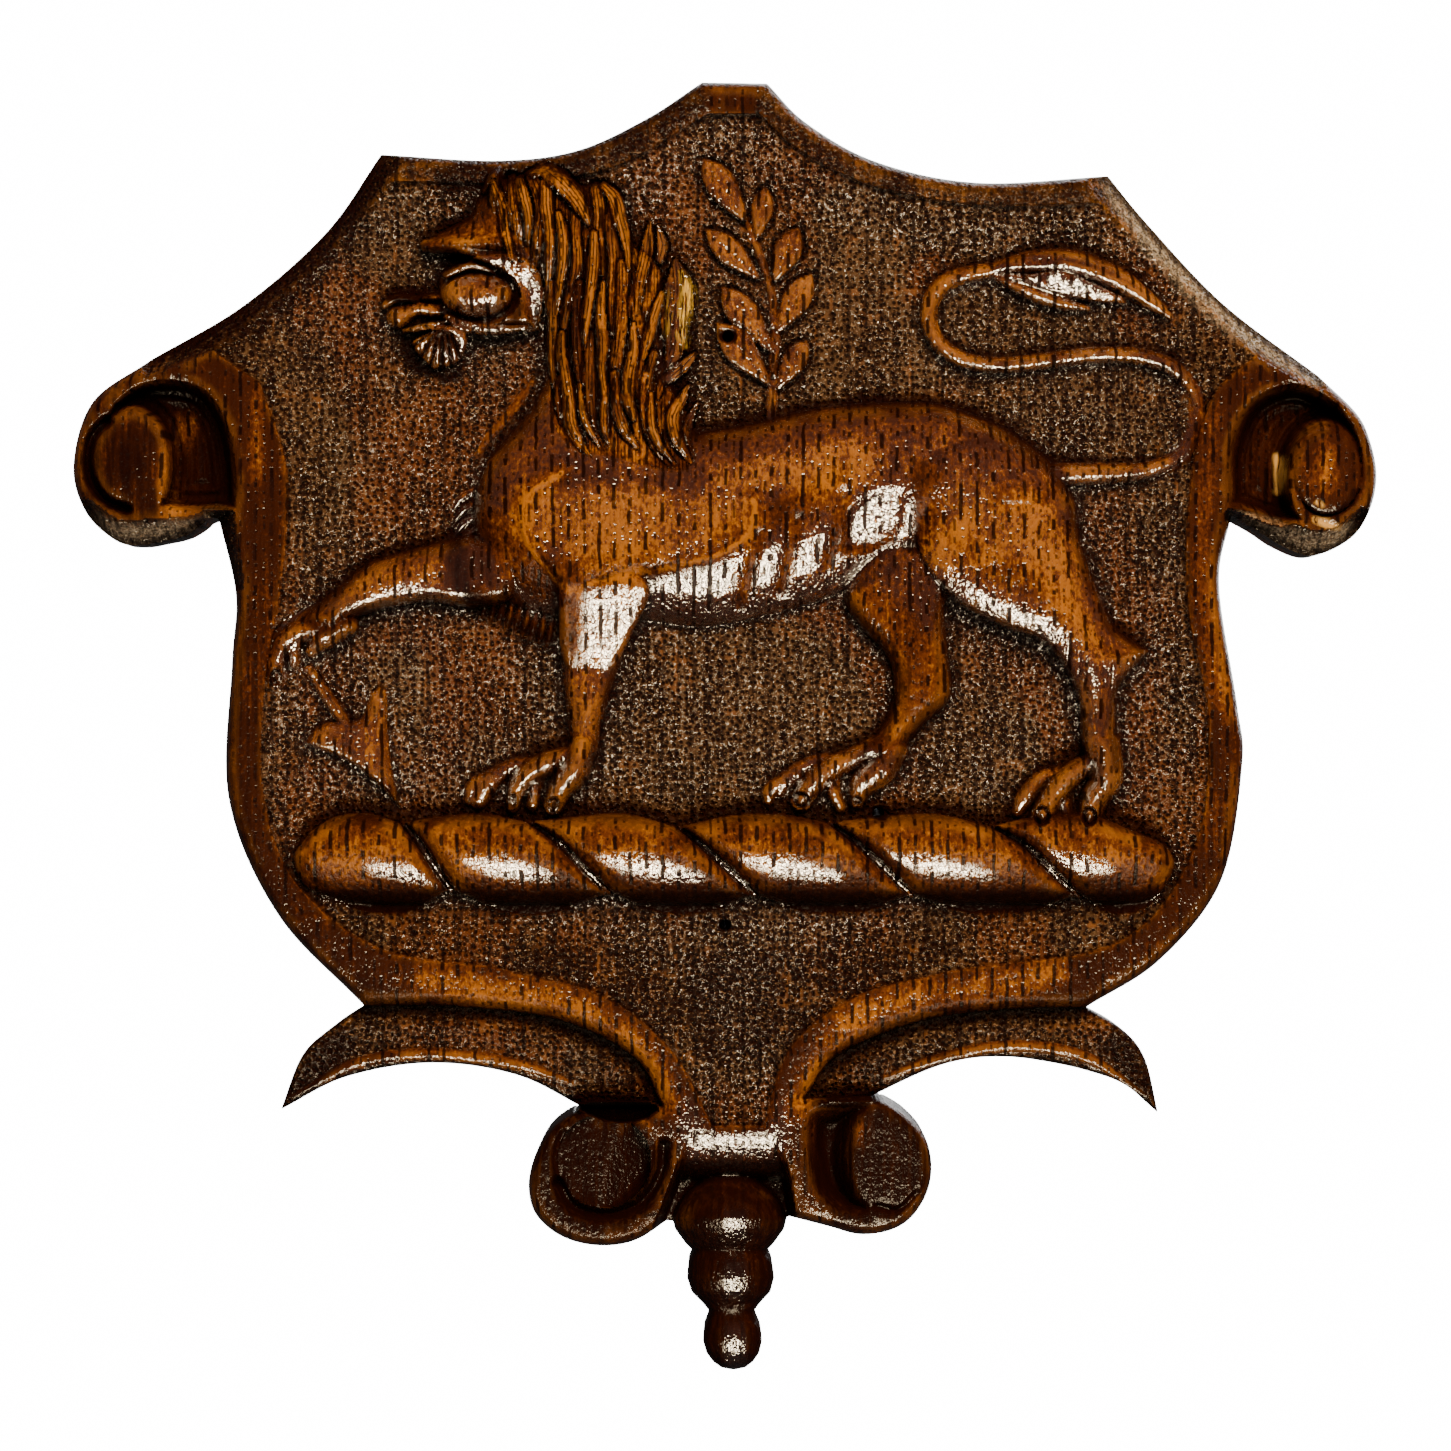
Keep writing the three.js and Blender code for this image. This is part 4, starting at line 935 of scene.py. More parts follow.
# Locks of the mane, lowest first: x, z and half width along each, then the rise over the bed
LOCKS = [
    ([(-46.6, 108, 0.8), (-44.6, 103, 1.2), (-44, 98, 1.1), (-43, 93, 0.5)], 1.4),
    ([(-42.8, 109, 1), (-42.4, 104, 1.2), (-41.8, 98, 1), (-41, 93, 0.5)], 0.7),
    ([(-39, 109.6, 1.2), (-37.2, 104, 1.4), (-37.6, 98, 1.3), (-38.4, 91, 0.6)], 1.2),
    ([(-36, 110, 1), (-36, 104, 1.2), (-35.4, 98, 1.1), (-35.6, 90, 1), (-36, 82, 0.4)], 1.5),
    ([(-30, 103, 1), (-30.4, 98, 1.1), (-30, 92, 1.1), (-31.6, 84, 1), (-33, 77, 0.4)], 1.0),
    ([(-26, 107, 1.2), (-25.4, 102, 1.2), (-25.6, 96, 1), (-25, 90, 0.5)], 0.8),
    ([(-23, 104, 1), (-23, 98, 1.2), (-22.6, 92, 1.1), (-23, 85, 1.1), (-23, 78, 0.5)], 1.1),
    ([(-34.6, 88, 0.8), (-34.8, 80, 1.1), (-34.8, 72, 0.9), (-34, 66, 0.4)], 0.9),
    ([(-29.4, 88, 0.8), (-30, 80, 1.1), (-29.6, 72, 1.1), (-28.8, 66, 0.5)], 0.9),
    ([(-20.8, 92, 1), (-20.8, 84, 1.3), (-21.6, 76, 1.2), (-22.6, 68, 1), (-22, 62, 0.4)], 1.2),
    ([(-18, 90, 0.9), (-18.4, 83, 1.2), (-17.4, 76, 1.2), (-17.6, 68, 1.1), (-16.6, 61, 0.4)], 1.0),
    ([(-27.4, 78, 0.8), (-27.6, 70, 1.2), (-27.4, 63, 1.1), (-26.4, 58, 0.9), (-24.6, 55, 0.3)], 1.2),
    ([(-22.4, 70, 0.8), (-22, 64, 1.2), (-20.6, 59, 1.1), (-18, 55.4, 0.5)], 1.0),
    ([(-14.6, 74, 0.9), (-16.2, 67, 1.1), (-16, 60, 1), (-14, 55, 0.8), (-11.4, 51.6, 0.3)], 1.0),
    ([(-33, 70, 0.6), (-33.6, 65, 0.9), (-33, 60, 0.4)], 1.0),
    ([(-15.2, 66, 0.5), (-15, 60, 0.9), (-13.6, 56, 0.8), (-10.4, 52, 0.3)], 1.7),
    ([(-29.4, 68, 0.4), (-28.8, 62, 0.8), (-27.4, 58.6, 0.7), (-25.4, 55.4, 0.3)], 1.9),
    ([(-26.6, 98, 0.7), (-26.7, 92, 1.2), (-27.4, 86, 1.2), (-28.2, 80, 1), (-28.6, 75, 0.3)], 2.1),
    ([(-24.8, 88, 0.6), (-25.2, 82, 1.1), (-24.8, 76, 1.2), (-25, 71, 0.8), (-24.4, 66, 0.9), (-24.6, 60, 1),
      (-23.6, 56, 0.3)], 2.0),
    ([(-33.6, 102, 0.6), (-32.8, 98, 1.2), (-32.7, 93, 1.2), (-33.4, 88, 0.9), (-34, 82, 0.3)], 2.1),
    ([(-41.4, 108.6, 0.9), (-40.4, 104.6, 1.3), (-39.7, 101, 1), (-39.8, 96, 0.4)], 2.1),
    ([(-33, 78, 0.7), (-33, 74, 1.1), (-32.4, 70, 1.2), (-31.6, 65, 1.2), (-31.2, 60, 1.3), (-29.2, 56, 0.9),
      (-27.6, 54, 0.3)], 2.2),
    ([(-18.8, 80, 0.5), (-18.7, 75, 1), (-19.6, 70, 1.2), (-19.8, 65, 1.2), (-18.8, 61, 0.6)], 2.1),
    ([(-39, 110, 0.8), (-36, 110.4, 1.5), (-32.4, 107.6, 1.9), (-29.6, 104, 1.6), (-27.6, 100, 0.5)], 2.2),
    ([(-24.6, 107.6, 0.8), (-22.4, 105, 1.4), (-21.3, 101, 1.3), (-20.2, 96.6, 1), (-19.6, 91, 0.4)], 2.1),
    ([(-13.8, 99.4, 0.4), (-12.9, 96, 1.1), (-13.3, 93, 1)], -0.6),
    ([(-15.4, 100.4, 0.3), (-15.8, 96.6, 1.1), (-16.2, 93.6, 1.3), (-17.4, 88, 1), (-17.8, 82, 0.4)], 1.3),
    ([(-10.3, 92.6, 0.5), (-9.8, 89, 2.2), (-10, 85, 3), (-10.6, 80, 2.7), (-10.4, 75.6, 2), (-11.6, 71, 1.3),
      (-13.2, 67.4, 0.8), (-13.8, 65, 0.3)], 0.8),
    ([(-13, 86, 0.6), (-14.4, 82, 1), (-15.4, 78, 1.1), (-16.6, 73, 0.4)], 1.8),
    ([(-6.4, 74, 0.5), (-8.8, 71.4, 1.2), (-11.8, 69, 1)], 0.6),
    ([(-6, 64, 0.4), (-7.6, 60.4, 0.9), (-8.2, 56.6, 0.8), (-6.6, 53.4, 0.3)], 0.4),
    ([(-7.8, 67.6, 0.3), (-9, 65, 1.1), (-10.8, 61.6, 1.3), (-10.4, 58, 1.2), (-9, 55, 1),
      (-7.2, 52.4, 0.4)], 1.6),
]


def mane():
    """Long wavy locks over a rounded bed, some of them free at the back."""
    area, inside = signed(MANE_BED, 9)
    bed = np.full(X.shape, FIELD + 3.2)
    bed[area] = FIELD + 3.2 + 5 * dome(np.maximum(inside, 0), 9)
    fall = noise(14, 22, SEED_FALL) * 1.6
    wave = 3 * noise(5, 16, SEED_WAVE)
    fine = np.sin((X + fall) * 2 * np.pi / 1.3 + wave) * (0.6 + 0.4 * noise(3, 9, SEED_STRANDS))
    H[area] -= 1.6 * ramp(inside, 2)
    raise_inside(area, inside, bed[area] - 0.6 + 0.5 * fine[area], 0.3)
    COMB[area] = X[area] + fall[area]
    MANE[area] = ramp(inside, 0.6)
    DARK[area] = np.where(inside > 0, 0.08, DARK[area])
    patches = ramp(noise(5, 12, SEED_PATCHES)[area] + 0.6, 0.6)
    lift(GLOW, area, patches * ramp(inside, 1))
    for points, rise in LOCKS:
        strand(bed, points, 0.75 * rise)
    H[area] += 0.22 * fine[area] * ramp(inside, 1)
    lift(DULL, area, 0.7 * ramp(inside, 1))
    mark(WORN, [(-9, 90, 0.3), (-7.8, 87, 1.1), (-8.2, 83, 1.2), (-9.2, 79, 1.0), (-8.4, 76, 0.5)], 1.0, 0.8)
    mark(WORN, [(-12.4, 86, 0.3), (-11.2, 82, 0.6), (-12.2, 78, 0.3)], 0.4, 0.8)


# Dark parts about the head: x, z and half width, then how dark
HEAD_SHADOWS = [
    ([(-60.6, 93.2, 0.5), (-56, 93.4, 0.9), (-51.6, 92.8, 0.8), (-47.4, 91.4, 0.5)], 1.0),
    ([(-57.4, 90, 0.6), (-57.8, 86, 1), (-57, 83, 0.7)], 1.0),
    ([(-67.4, 85.2, 0.9), (-62, 85.6, 1.5), (-58.6, 85.4, 1.2)], 1.0),
    ([(-64.4, 77.6, 1.4), (-64, 75, 1.8), (-61.2, 71, 1.6), (-57, 69.2, 1.4), (-52.6, 70.4, 1)], 1.0),
    ([(-61, 81.6, 0.6), (-58, 81.4, 0.6)], 0.8),
    ([(-59, 98.6, 0.5), (-55, 100.4, 1.2), (-51.6, 103, 1.4), (-50, 106.4, 0.8)], 0.8),
    ([(-42.6, 80.6, 1.6), (-41.6, 84.4, 1.3)], 0.7),
    ([(-50, 76.6, 0.7), (-44, 76.8, 0.8), (-39, 77, 0.8)], 0.9),
]


def head():
    """The head in profile: ear, forehead, muzzle, open mouth with the tongue out, cheek, jaw and beard."""
    face = loop([
        [(-58.4, 97.6), (-54, 99.9), (-51.2, 101.8), (-50.2, 105), (-49, 108)],
        [(-44, 109), (-38, 104), (-36.4, 92), (-38, 79)],
        [(-44, 79), (-50, 78.4), (-54, 80), (-56.6, 82.4)],
        [(-57.6, 86), (-57, 90), (-53, 93)],
        [(-57, 94.6), (-60.4, 94.4), (-60.8, 95.6)],
    ])
    form(face, BODY_RELIEF - 2, low=2.2, up=8, soft=0.3)
    roll([(-60, 95.6, 1.3), (-56, 95.9, 1.9), (-50, 96.2, 2.6), (-44, 96.6, 3.2)], BODY_RELIEF)
    jaw = loop([[(-50, 93.4), (-45, 94), (-40, 93), (-37.2, 89.6), (-36.6, 85), (-37.6, 78.6)],
                [(-40.6, 78.8), (-41, 84), (-43, 88.6), (-47, 91.2), (-52, 92)]])
    area, inside = signed(jaw, 2)
    plane = FIELD + 3.8 + LEAN * (Z[area] - 79) - 1.2 * (1 - dome(inside, 1))
    raise_to(area, np.where(inside > 0, plane, BELOW), 0.2)
    groove([(-60, 93.4), (-56, 93.5), (-51.6, 92.8), (-48, 91.4)], 3.2, 1.2)
    roll([(-56.2, 89.8, 0.7), (-52.6, 91.2, 1), (-48.4, 91, 1)], BODY_RELIEF - 1)
    area, inside = signed(ellipse(-49.8, 85.8, 7.2, 4.7), 5)
    cut_to(area, inside > -1.4, FIELD + 4 + 1.6 * np.abs(inside + 0.2))
    raise_to(area, np.where(inside > 0, FIELD + 3.6 + 6.2 * dome(inside, 4.7), FIELD), 0.2)
    # Painted shade in the cut round the cheek
    lift(DARK, area, 0.9 * (1 - ramp(np.abs(inside + 0.2), 1)))
    roll([(-56, 81.4, 0.8), (-53.4, 79.4, 1), (-49, 78.6, 0.9), (-44, 78.7, 0.8), (-40, 79.2, 0.5)], 6.6)
    roll([(-54, 82.6, 1.2), (-58, 82.6, 1.5), (-62, 83, 1.6), (-65.6, 81.4, 2.5)], 4.8)
    roll([(-62, 84.9, 0.9), (-66, 85, 1), (-68.4, 83.6, 0.8)], 4.6)
    roll([(-57.4, 85.4, 0.6), (-60.6, 85.2, 0.8)], 4)
    beard()
    for points, amount in HEAD_SHADOWS:
        mark(DARK, points, amount, 0.5)
        mark(DULL, points, 1.0, 0.5)
    mark(DULL, [(-60, 95.6, 1.6), (-52, 96.4, 2.6), (-44, 97, 3)], 0.95, 0.8)
    mark(DULL, [(-46, 100, 3), (-47, 106, 2.6)], 0.8, 1)
    facet([(-56.2, 89.4, 0.6), (-54.4, 90.4, 0.9), (-51.6, 91.4, 0.9), (-48.8, 91.1, 0.9),
           (-46.6, 90.2, 0.6)], 7.8)
    facet([(-55.8, 81.4, 0.7), (-52, 79.7, 1.1), (-47, 78.9, 1), (-40.3, 79.2, 0.8)], 6.2)
    facet([(-64.4, 78.6, 0.7), (-60, 79.4, 1), (-56, 80.2, 0.8)], 4.2)
    area = window((-60, 76), (-36, 94))
    H[area] += 0.25 * noise(1.1, 1.5, SEED_FACE)[area] * ramp(H[area] - FIELD - 2, 2)
    roll([(-48.4, 106.6, 0.8), (-46.6, 109.4, 1.3), (-45.3, 111.4, 0.5)], BODY_RELIEF)
    roll([(-45.6, 110.4, 0.8), (-46.6, 106, 1.4), (-46, 101, 0.8)], BODY_RELIEF + 0.4)
    groove([(-43.4, 109.6), (-42.8, 106), (-43, 102.6)], 3.4, 1.5)


def beard():
    """A tuft under the chin, cut by a fan of strokes."""
    tuft = loop([[(-52.6, 79), (-51.8, 76), (-53, 73)],
                 [(-55, 71.6), (-58.6, 71)],
                 [(-62.2, 74.6), (-63, 76.4)],
                 [(-60.4, 77.8), (-57, 79.6)]])
    area, inside = signed(tuft, 1.5)
    slope = FIELD + 6.4 - 0.42 * (79 - Z[area]) - 1.6 * (1 - dome(inside, 0.9))
    raise_inside(area, inside, slope, 0.2)
    for foot in ((-62.4, 75.6), (-61, 73.4), (-59.2, 71.6), (-57.2, 71), (-55, 71.4), (-53.2, 72.8)):
        top = (-56.6 + 0.35 * (foot[0] + 57), 78.6)
        groove([top, foot], 1.6, 0.55)
        # Painted shade in each stroke
        mark(DARK, [(*top, 0.25), (*foot, 0.35)], 0.9, 0.3)
    roll([(-58.6, 79.4, 0.9), (-55.6, 78.8, 1.3), (-53, 79, 0.8)], 6.6)


# Rows of tufts: where a row starts, how far it runs, and the stroke of one tuft
TUFTS = 9
FRINGES = [
    ((-51.4, 46), (2.4, -20), [(1.6, 1.2, 0.5), (-1.6, -0.8, 0.8), (-3.4, -3.2, 0.25)]),
    ((-48, 24.6), (13, -5.4), [(0.2, 1.6, 0.5), (-0.4, -1.2, 0.7), (-1, -3.6, 0.25)]),
]


def chest_fringe():
    """Short fur cut along the front of the neck and chest."""
    mark(DULL, [(-38, 70, 1.6), (-44.6, 60.6, 2.2), (-50, 53, 1.6)], 1.0, 0.8)
    roll([(-38.8, 68.6, 0.4), (-41.6, 64.6, 0.9), (-44.6, 60.6, 1), (-47.6, 57.4, 0.8), (-50, 54, 0.3)], 0.9)
    for start, run, shape in FRINGES:
        for k in range(TUFTS):
            share = k / (TUFTS - 1)
            x, z = start[0] + run[0] * share, start[1] + run[1] * share
            roll([(x + dx, z + dz, half) for dx, dz, half in shape], 1.5 + 0.4 * (k % 2))


def nail_holes():
    for x, z, half_x, half_z in ((0.2, 77.6, 2.1, 1.7), (30.6, -17.6, 2.6, 1.9), (-0.4, -40, 1.6, 1.6)):
        area, inside = signed(ellipse(x, z, half_x, half_z), 1.5)
        H[area] -= 0.8 * ramp(inside, 1.2)
        # Painted shade inside the hole
        lift(DARK, area, ramp(inside + 0.3, 0.8))
        lift(DULL, area, ramp(inside + 0.3, 0.8))


# Where the wood is painted a lighter orange: thin varnish on rubbed parts, and painted light on the lit walls
# in the volutes. x, z and half width
GLOWING = [
    [(-38, 42, 6), (-24, 40, 8), (-8, 40, 6), (2, 43, 3)],
    [(-72, 28, 2), (-60, 30, 3)],
    [(-28, 26, 4), (-26, 14, 3)],
    [(44, 34, 5), (58, 40, 7), (66, 28, 4), (74, 14, 2)],
    [(0, 50, 3), (26, 52, 5)],
    [(-56, 86, 2), (-50, 86, 3)],
    [(-66, 80, 1.5), (-58, 82.6, 1)],
    [(-58, 95.6, 1), (-48, 97, 1.4)],
    [(26.6, -80, 0.5), (26.6, -83, 0.5)],
    [(-72, -3, 2), (-68.6, -9, 1)],
    [(-110, 42, 2), (-111.4, 52, 2), (-108, 60, 2)],
    [(-94, 68, 1), (-94, 50, 1.2)],
    [(-24, 28, 6), (-25, 18, 5), (-28, 11, 3)],
    [(-28.4, 11, 3), (-28.6, 3, 2.6), (-29, -4, 2.4)],
    [(-60, -51, 2.4), (-50, -52.4, 3), (-34, -55, 2.6), (-20, -62, 2), (-11, -76, 2)],
    [(14, -76, 2), (20, -63, 2), (34, -55, 2.6), (52, -52.4, 3), (66, -49.4, 2.4)],
    [(97, 62, 1), (95, 40, 1), (96, 24, 1), (99, 4, 1)],
    [(42, 78, 1), (46, 88, 1)],
    [(-82, 62, 4), (-70, 50, 6), (-60, 66, 3)],
    [(-80, 42, 3), (-66, 44, 3)],
    [(20, 66, 3), (28, 98, 3), (40, 70, 2)],
    [(120, 54, 2), (119, 48, 2)],
]


# Where the ground is olive, not red: x, z and half width
OLIVE_GROUND = [
    [(-12, 2, 18), (10, 0, 20)],
    [(26, 84, 8), (20, 72, 6), (60, 80, 7), (78, 60, 7)],
    [(54, -6, 9)] * 2,
    [(0, -56, 12)] * 2,
    [(-64, 8, 6)] * 2,
    [(26, 102, 6), (60, 98, 6)],
    [(-70, 100, 7), (-60, 88, 5)],
]

# Where an edge is painted pale, as painted light from the surroundings on a stippled strip: x, z and half
# width
LIT_EDGE_STRIPS = [
    [(77, 108.6, 2), (84, 99.6, 3.2), (99, 83.8, 3.2), (117, 70.2, 2.4)],
    [(103, 40.6, 2), (111, 36.6, 3), (118, 35.4, 3), (124, 38, 2)],
    [(-126, 40, 1.6), (-118, 37.4, 2.6), (-109, 38.8, 2.4), (-104, 41, 1.4)],
]

# Chips down to bare wood: x, z and half width, then the depth
CHIPS = [
    ([(109.6, 53.6, 0.6), (110.4, 50, 1.2), (110, 46.6, 0.6)], 0.4),
    ([(117.4, 41, 0.6), (119.8, 40.2, 0.9), (121.8, 39.4, 0.5)], 0.5),
    ([(117.8, 44.4, 0.5), (118.6, 43.8, 0.5)], 0.3),
]

# Where the wood is painted darker: stain and dirt on the rims, and painted shade in the volutes, under the
# ends of the horns and below the chest. x, z and half width, then how dark
DARKENED = [
    ([(-120, 52, 5)] * 2, 0.85),
    ([(-119, 50, 11)] * 2, 0.74),
    ([(-69, 111, 3), (-80, 97, 5), (-96, 83, 6), (-110, 76, 4)], 0.84),
    ([(-56, 109, 4), (-40, 110, 3), (-24, 115, 3), (-8, 124, 3)], 0.82),
    ([(-88, -76, 3), (-78, -64, 4)], 0.88),
    ([(-40, -46, 4), (-20, -52, 8), (0, -56, 11), (20, -52, 8), (40, -46, 4)], 0.57),
    ([(85, -75, 3), (78, -64, 3.4)], 0.84),
    ([(-48, 110, 0.8), (-36, 111, 1), (-24, 108, 1)], 0.6),
    ([(-98, 28, 3), (-98, 6, 4), (-98, -16, 4), (-93, -32, 4), (-82, -46, 4), (-70, -54, 3)], 0.72),
    ([(-53, 44, 2.4), (-54, 34, 2.6), (-52, 26, 2.4), (-44, 21, 2.2), (-36, 17.6, 2)], 0.85),
    ([(-26, -89, 14)] * 2, 0.9),
    ([(28, -88, 13)] * 2, 0.88),
]


def carve():
    """Cuts the whole front, from the board to the finest locks."""
    board()
    horns()
    volutes()
    drop()
    sprig()
    arrow()
    torse()
    tail()
    legs_behind()
    chest_fringe()
    body()
    near_legs()
    paws()
    head()
    mane()
    nail_holes()
    for points in OLIVE_GROUND:
        mark(OLIVE, points, 1.0, 6)
    for points, amount in DARKENED:
        mark(DARK, points, amount, 2)
    for points in LIT_EDGE_STRIPS:
        mark(LIT_EDGE, points, 1.0, 1.5)
        clear(DARK, points, 1.5)
    for points in GLOWING:
        mark(GLOW, points, 1.0, 2.5)
        clear(DARK, points, 2.5)
    for line, depth in CHIPS:
        groove([point[:2] for point in line], depth, 1.2)
        mark(BARE, line, 1.0, 0.4)
    H[:] += 0.05 * noise(1.3, 2.1, SEED_CUTS)
    H[:] = np.minimum(H, HIGHEST)


# The mesh

def outer_distance():
    """Distance inside the whole outline: shield, horns and drop, less the nail holes."""
    whole = np.full(X.shape, -2.0)
    for outline in (OUTLINE, LEFT_HORN, RIGHT_HORN, drop_outline()):
        area, inside = signed(outline, 2)
        lift(whole, area, inside)
    for x, z in NAIL_HOLES:
        area, inside = signed(ellipse(x, z, NAIL_HOLE / 2, NAIL_HOLE / 2, 16), 2)
        whole[area] = np.minimum(whole[area], -inside)
    return whole


def nearness(points):
    """How much smaller a point is built than drawn, because it is nearer to the camera than the edge is."""
    return 1 - (-points[:, 1:2] - EDGE) / (DISTANCE / MM)


def seen_from_camera(points):
    """The outlines are drawn as the camera sees them, so a part nearer to it is made a little smaller."""
    nearer = nearness(points)
    return points * np.hstack([nearer, np.ones_like(nearer), nearer])


def front_sheet():
    """The carved front: whole grid squares inside the outline, and cut ones along it."""
    whole = outer_distance()
    inside = whole > 0
    index = np.full(X.shape, -1)
    index[inside] = np.arange(inside.sum())
    points = [np.column_stack([X[inside], -H[inside], Z[inside]])]
    corners = [np.s_[:-1, :-1], np.s_[:-1, 1:], np.s_[1:, 1:], np.s_[1:, :-1]]
    count = sum(inside[corner].astype(int) for corner in corners)
    full = count == 4
    quads = np.column_stack([index[corner][full] for corner in corners])
    crossings = {}
    cut_faces = []
    extra = []
    for j, i in np.argwhere((count > 0) & (count < 4)):
        ring = [(j, i), (j, i + 1), (j + 1, i + 1), (j + 1, i)]
        face = []
        for a, b in zip(ring, ring[1:] + ring[:1]):
            if inside[a]:
                face.append(index[a])
            if inside[a] != inside[b]:
                key = (min(a, b), max(a, b))
                if key not in crossings:
                    t = whole[a] / (whole[a] - whole[b])
                    crossings[key] = inside.sum() + len(extra)
                    extra.append([(1 - t) * layer[a] + t * layer[b] for layer in (X, -H, Z)])
                face.append(crossings[key])
        cut_faces.append(face)
    points.append(np.array(extra))
    sizes = np.concatenate([np.full(len(quads), 4), [len(face) for face in cut_faces]])
    loops = np.concatenate([quads.ravel(), np.concatenate(cut_faces)])
    return mesh_of(seen_from_camera(np.vstack(points)) * MM, loops, sizes), int((sizes - 2).sum())


def mesh_of(points, loops, sizes):
    """A mesh of points, its faces' corners in one row, and the number of corners of each face."""
    mesh = bpy.data.meshes.new("front")
    mesh.vertices.add(len(points))
    mesh.vertices.foreach_set("co", points.ravel())
    mesh.loops.add(len(loops))
    mesh.loops.foreach_set("vertex_index", loops.astype(np.int32))
    mesh.polygons.add(len(sizes))
    starts = np.concatenate([[0], np.cumsum(sizes)[:-1]])
    mesh.polygons.foreach_set("loop_start", starts.astype(np.int32))
    mesh.update(calc_edges=True)
    return mesh


def thinned(mesh, ratio):
    """The same surface with fewer triangles, closer together where it bends."""
    helper = bpy.data.objects.new("helper", mesh)
    bpy.context.scene.collection.objects.link(helper)
    modifier = helper.modifiers.new("thin", "DECIMATE")
    modifier.ratio = ratio
    modifier.use_collapse_triangulate = True
    result = bpy.data.meshes.new_from_object(helper.evaluated_get(bpy.context.evaluated_depsgraph_get()))
    bpy.data.objects.remove(helper)
    bpy.data.meshes.remove(mesh)
    return result


def taper_holes(points):
    """Each nail went in at a slant, so its hole narrows and leans towards the middle of the board."""
    for x, z in NAIL_HOLES:
        reach = np.hypot(points[:, 0] - x * MM, points[:, 2] - z * MM) < NAIL_HOLE * MM
        centre = np.array([x, z]) * MM
        lean = centre - np.array([0, np.sign(z)]) * NAIL_LEAN * MM
        points[reach, 0::2] = lean + (points[reach, 0::2] - centre) * NAIL_TIP
    return points


def close_back(mesh):
    """Walls from the edge of the front straight to the flat back, and the back itself."""
    bm = bmesh.new()
    bm.from_mesh(mesh)
    edge = [e for e in bm.edges if e.is_boundary]
    for share in (0.5, 0.0):
        grown = bmesh.ops.extrude_edge_only(bm, edges=edge)["geom"]
        added = [g for g in grown if isinstance(g, bmesh.types.BMVert)]
        places = np.array([vertex.co for vertex in added])
        places[:, 1] *= share
        places = places if share else taper_holes(places)
        for vertex, place in zip(added, places):
            vertex.co = place
        edge = [g for g in grown if isinstance(g, bmesh.types.BMEdge) and g.is_boundary]
    bmesh.ops.triangle_fill(bm, edges=edge, use_beauty=True)
    bmesh.ops.recalc_face_normals(bm, faces=bm.faces)
    bm.to_mesh(mesh)
    bm.free()


def paint_layers(mesh, layers):
    """Stores each layer on the vertices, read from the grid. The nail holes are painted dark inside, as
    shade, and dull.
    """
    points = np.empty(len(mesh.vertices) * 3)
    mesh.vertices.foreach_get("co", points)
    points = points.reshape(-1, 3) / MM
    drawn = points / nearness(points)
    i = np.clip(np.rint((drawn[:, 0] - LEFT) / STEP).astype(int), 0, len(XS) - 1)
    j = np.clip(np.rint((drawn[:, 2] - LOW) / STEP).astype(int), 0, len(ZS) - 1)
    deep = np.zeros(len(points), bool)
    for x, z in NAIL_HOLES:
        deep |= (np.hypot(points[:, 0] - x, points[:, 2] - z) < 1.5 * NAIL_HOLE) & (points[:, 1] > 1 - FIELD)
    for name, layer in layers.items():
        attribute = mesh.attributes.new(name, "FLOAT", "POINT")
        values = np.where(deep, name in ("dark", "dull"), layer[j, i])
        attribute.data.foreach_set("value", values.astype(np.float32))


carve()
sheet, triangle_count = front_sheet()
relief = thinned(sheet, TRIANGLES / triangle_count)
close_back(relief)

# How far each point lies below its blurred surroundings, finely and broadly: the shader paints shade in
# hollows from these, and wear on raised edges from the fine one
for name, radius, depth in (("hollow", 1.6, 1.4), ("broad", 5, 4)):
    LAYERS[name] = np.clip((blur(H, radius) - H) / depth, -1, 1)
paint_layers(relief, LAYERS)

plaque = bpy.data.objects.new("carved_oak_plaque", relief)
bpy.context.scene.collection.objects.link(plaque)
relief.polygons.foreach_set("use_smooth", np.ones(len(relief.polygons), bool))
relief.set_sharp_from_angle(angle=SHARP)
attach(plaque, "root")
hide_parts("carved_shield")


# Varnished oak

DEEP = (0.0060, 0.0009, 0.0003, 1)
PORE = (0.0040, 0.0010, 0.0006, 1)
WOOD_DARK = (0.026, 0.0052, 0.0010, 1)
WOOD_MID = (0.068, 0.0145, 0.0014, 1)
WOOD_LIGHT = (0.230, 0.0700, 0.0050, 1)
GROUND_DARK = (0.012, 0.0036, 0.0012, 1)
GROUND_LIGHT = (0.054, 0.0236, 0.0082, 1)
GROUND_RED = (0.066, 0.0165, 0.0032, 1)
GLINT_FLECK = (0.300, 0.1560, 0.0680, 1)
RUBBED = (0.130, 0.0420, 0.0090, 1)
EDGE_WEAR = (0.210, 0.0700, 0.0090, 1)
GOLD = (0.500, 0.2700, 0.0300, 1)
LIT_STIPPLE = (0.300, 0.2150, 0.1300, 1)
BARE_WOOD = (0.420, 0.2100, 0.0500, 1)
BACK_DARK = (0.050, 0.0200, 0.0090, 1)
BACK_LIGHT = (0.110, 0.0520, 0.0250, 1)


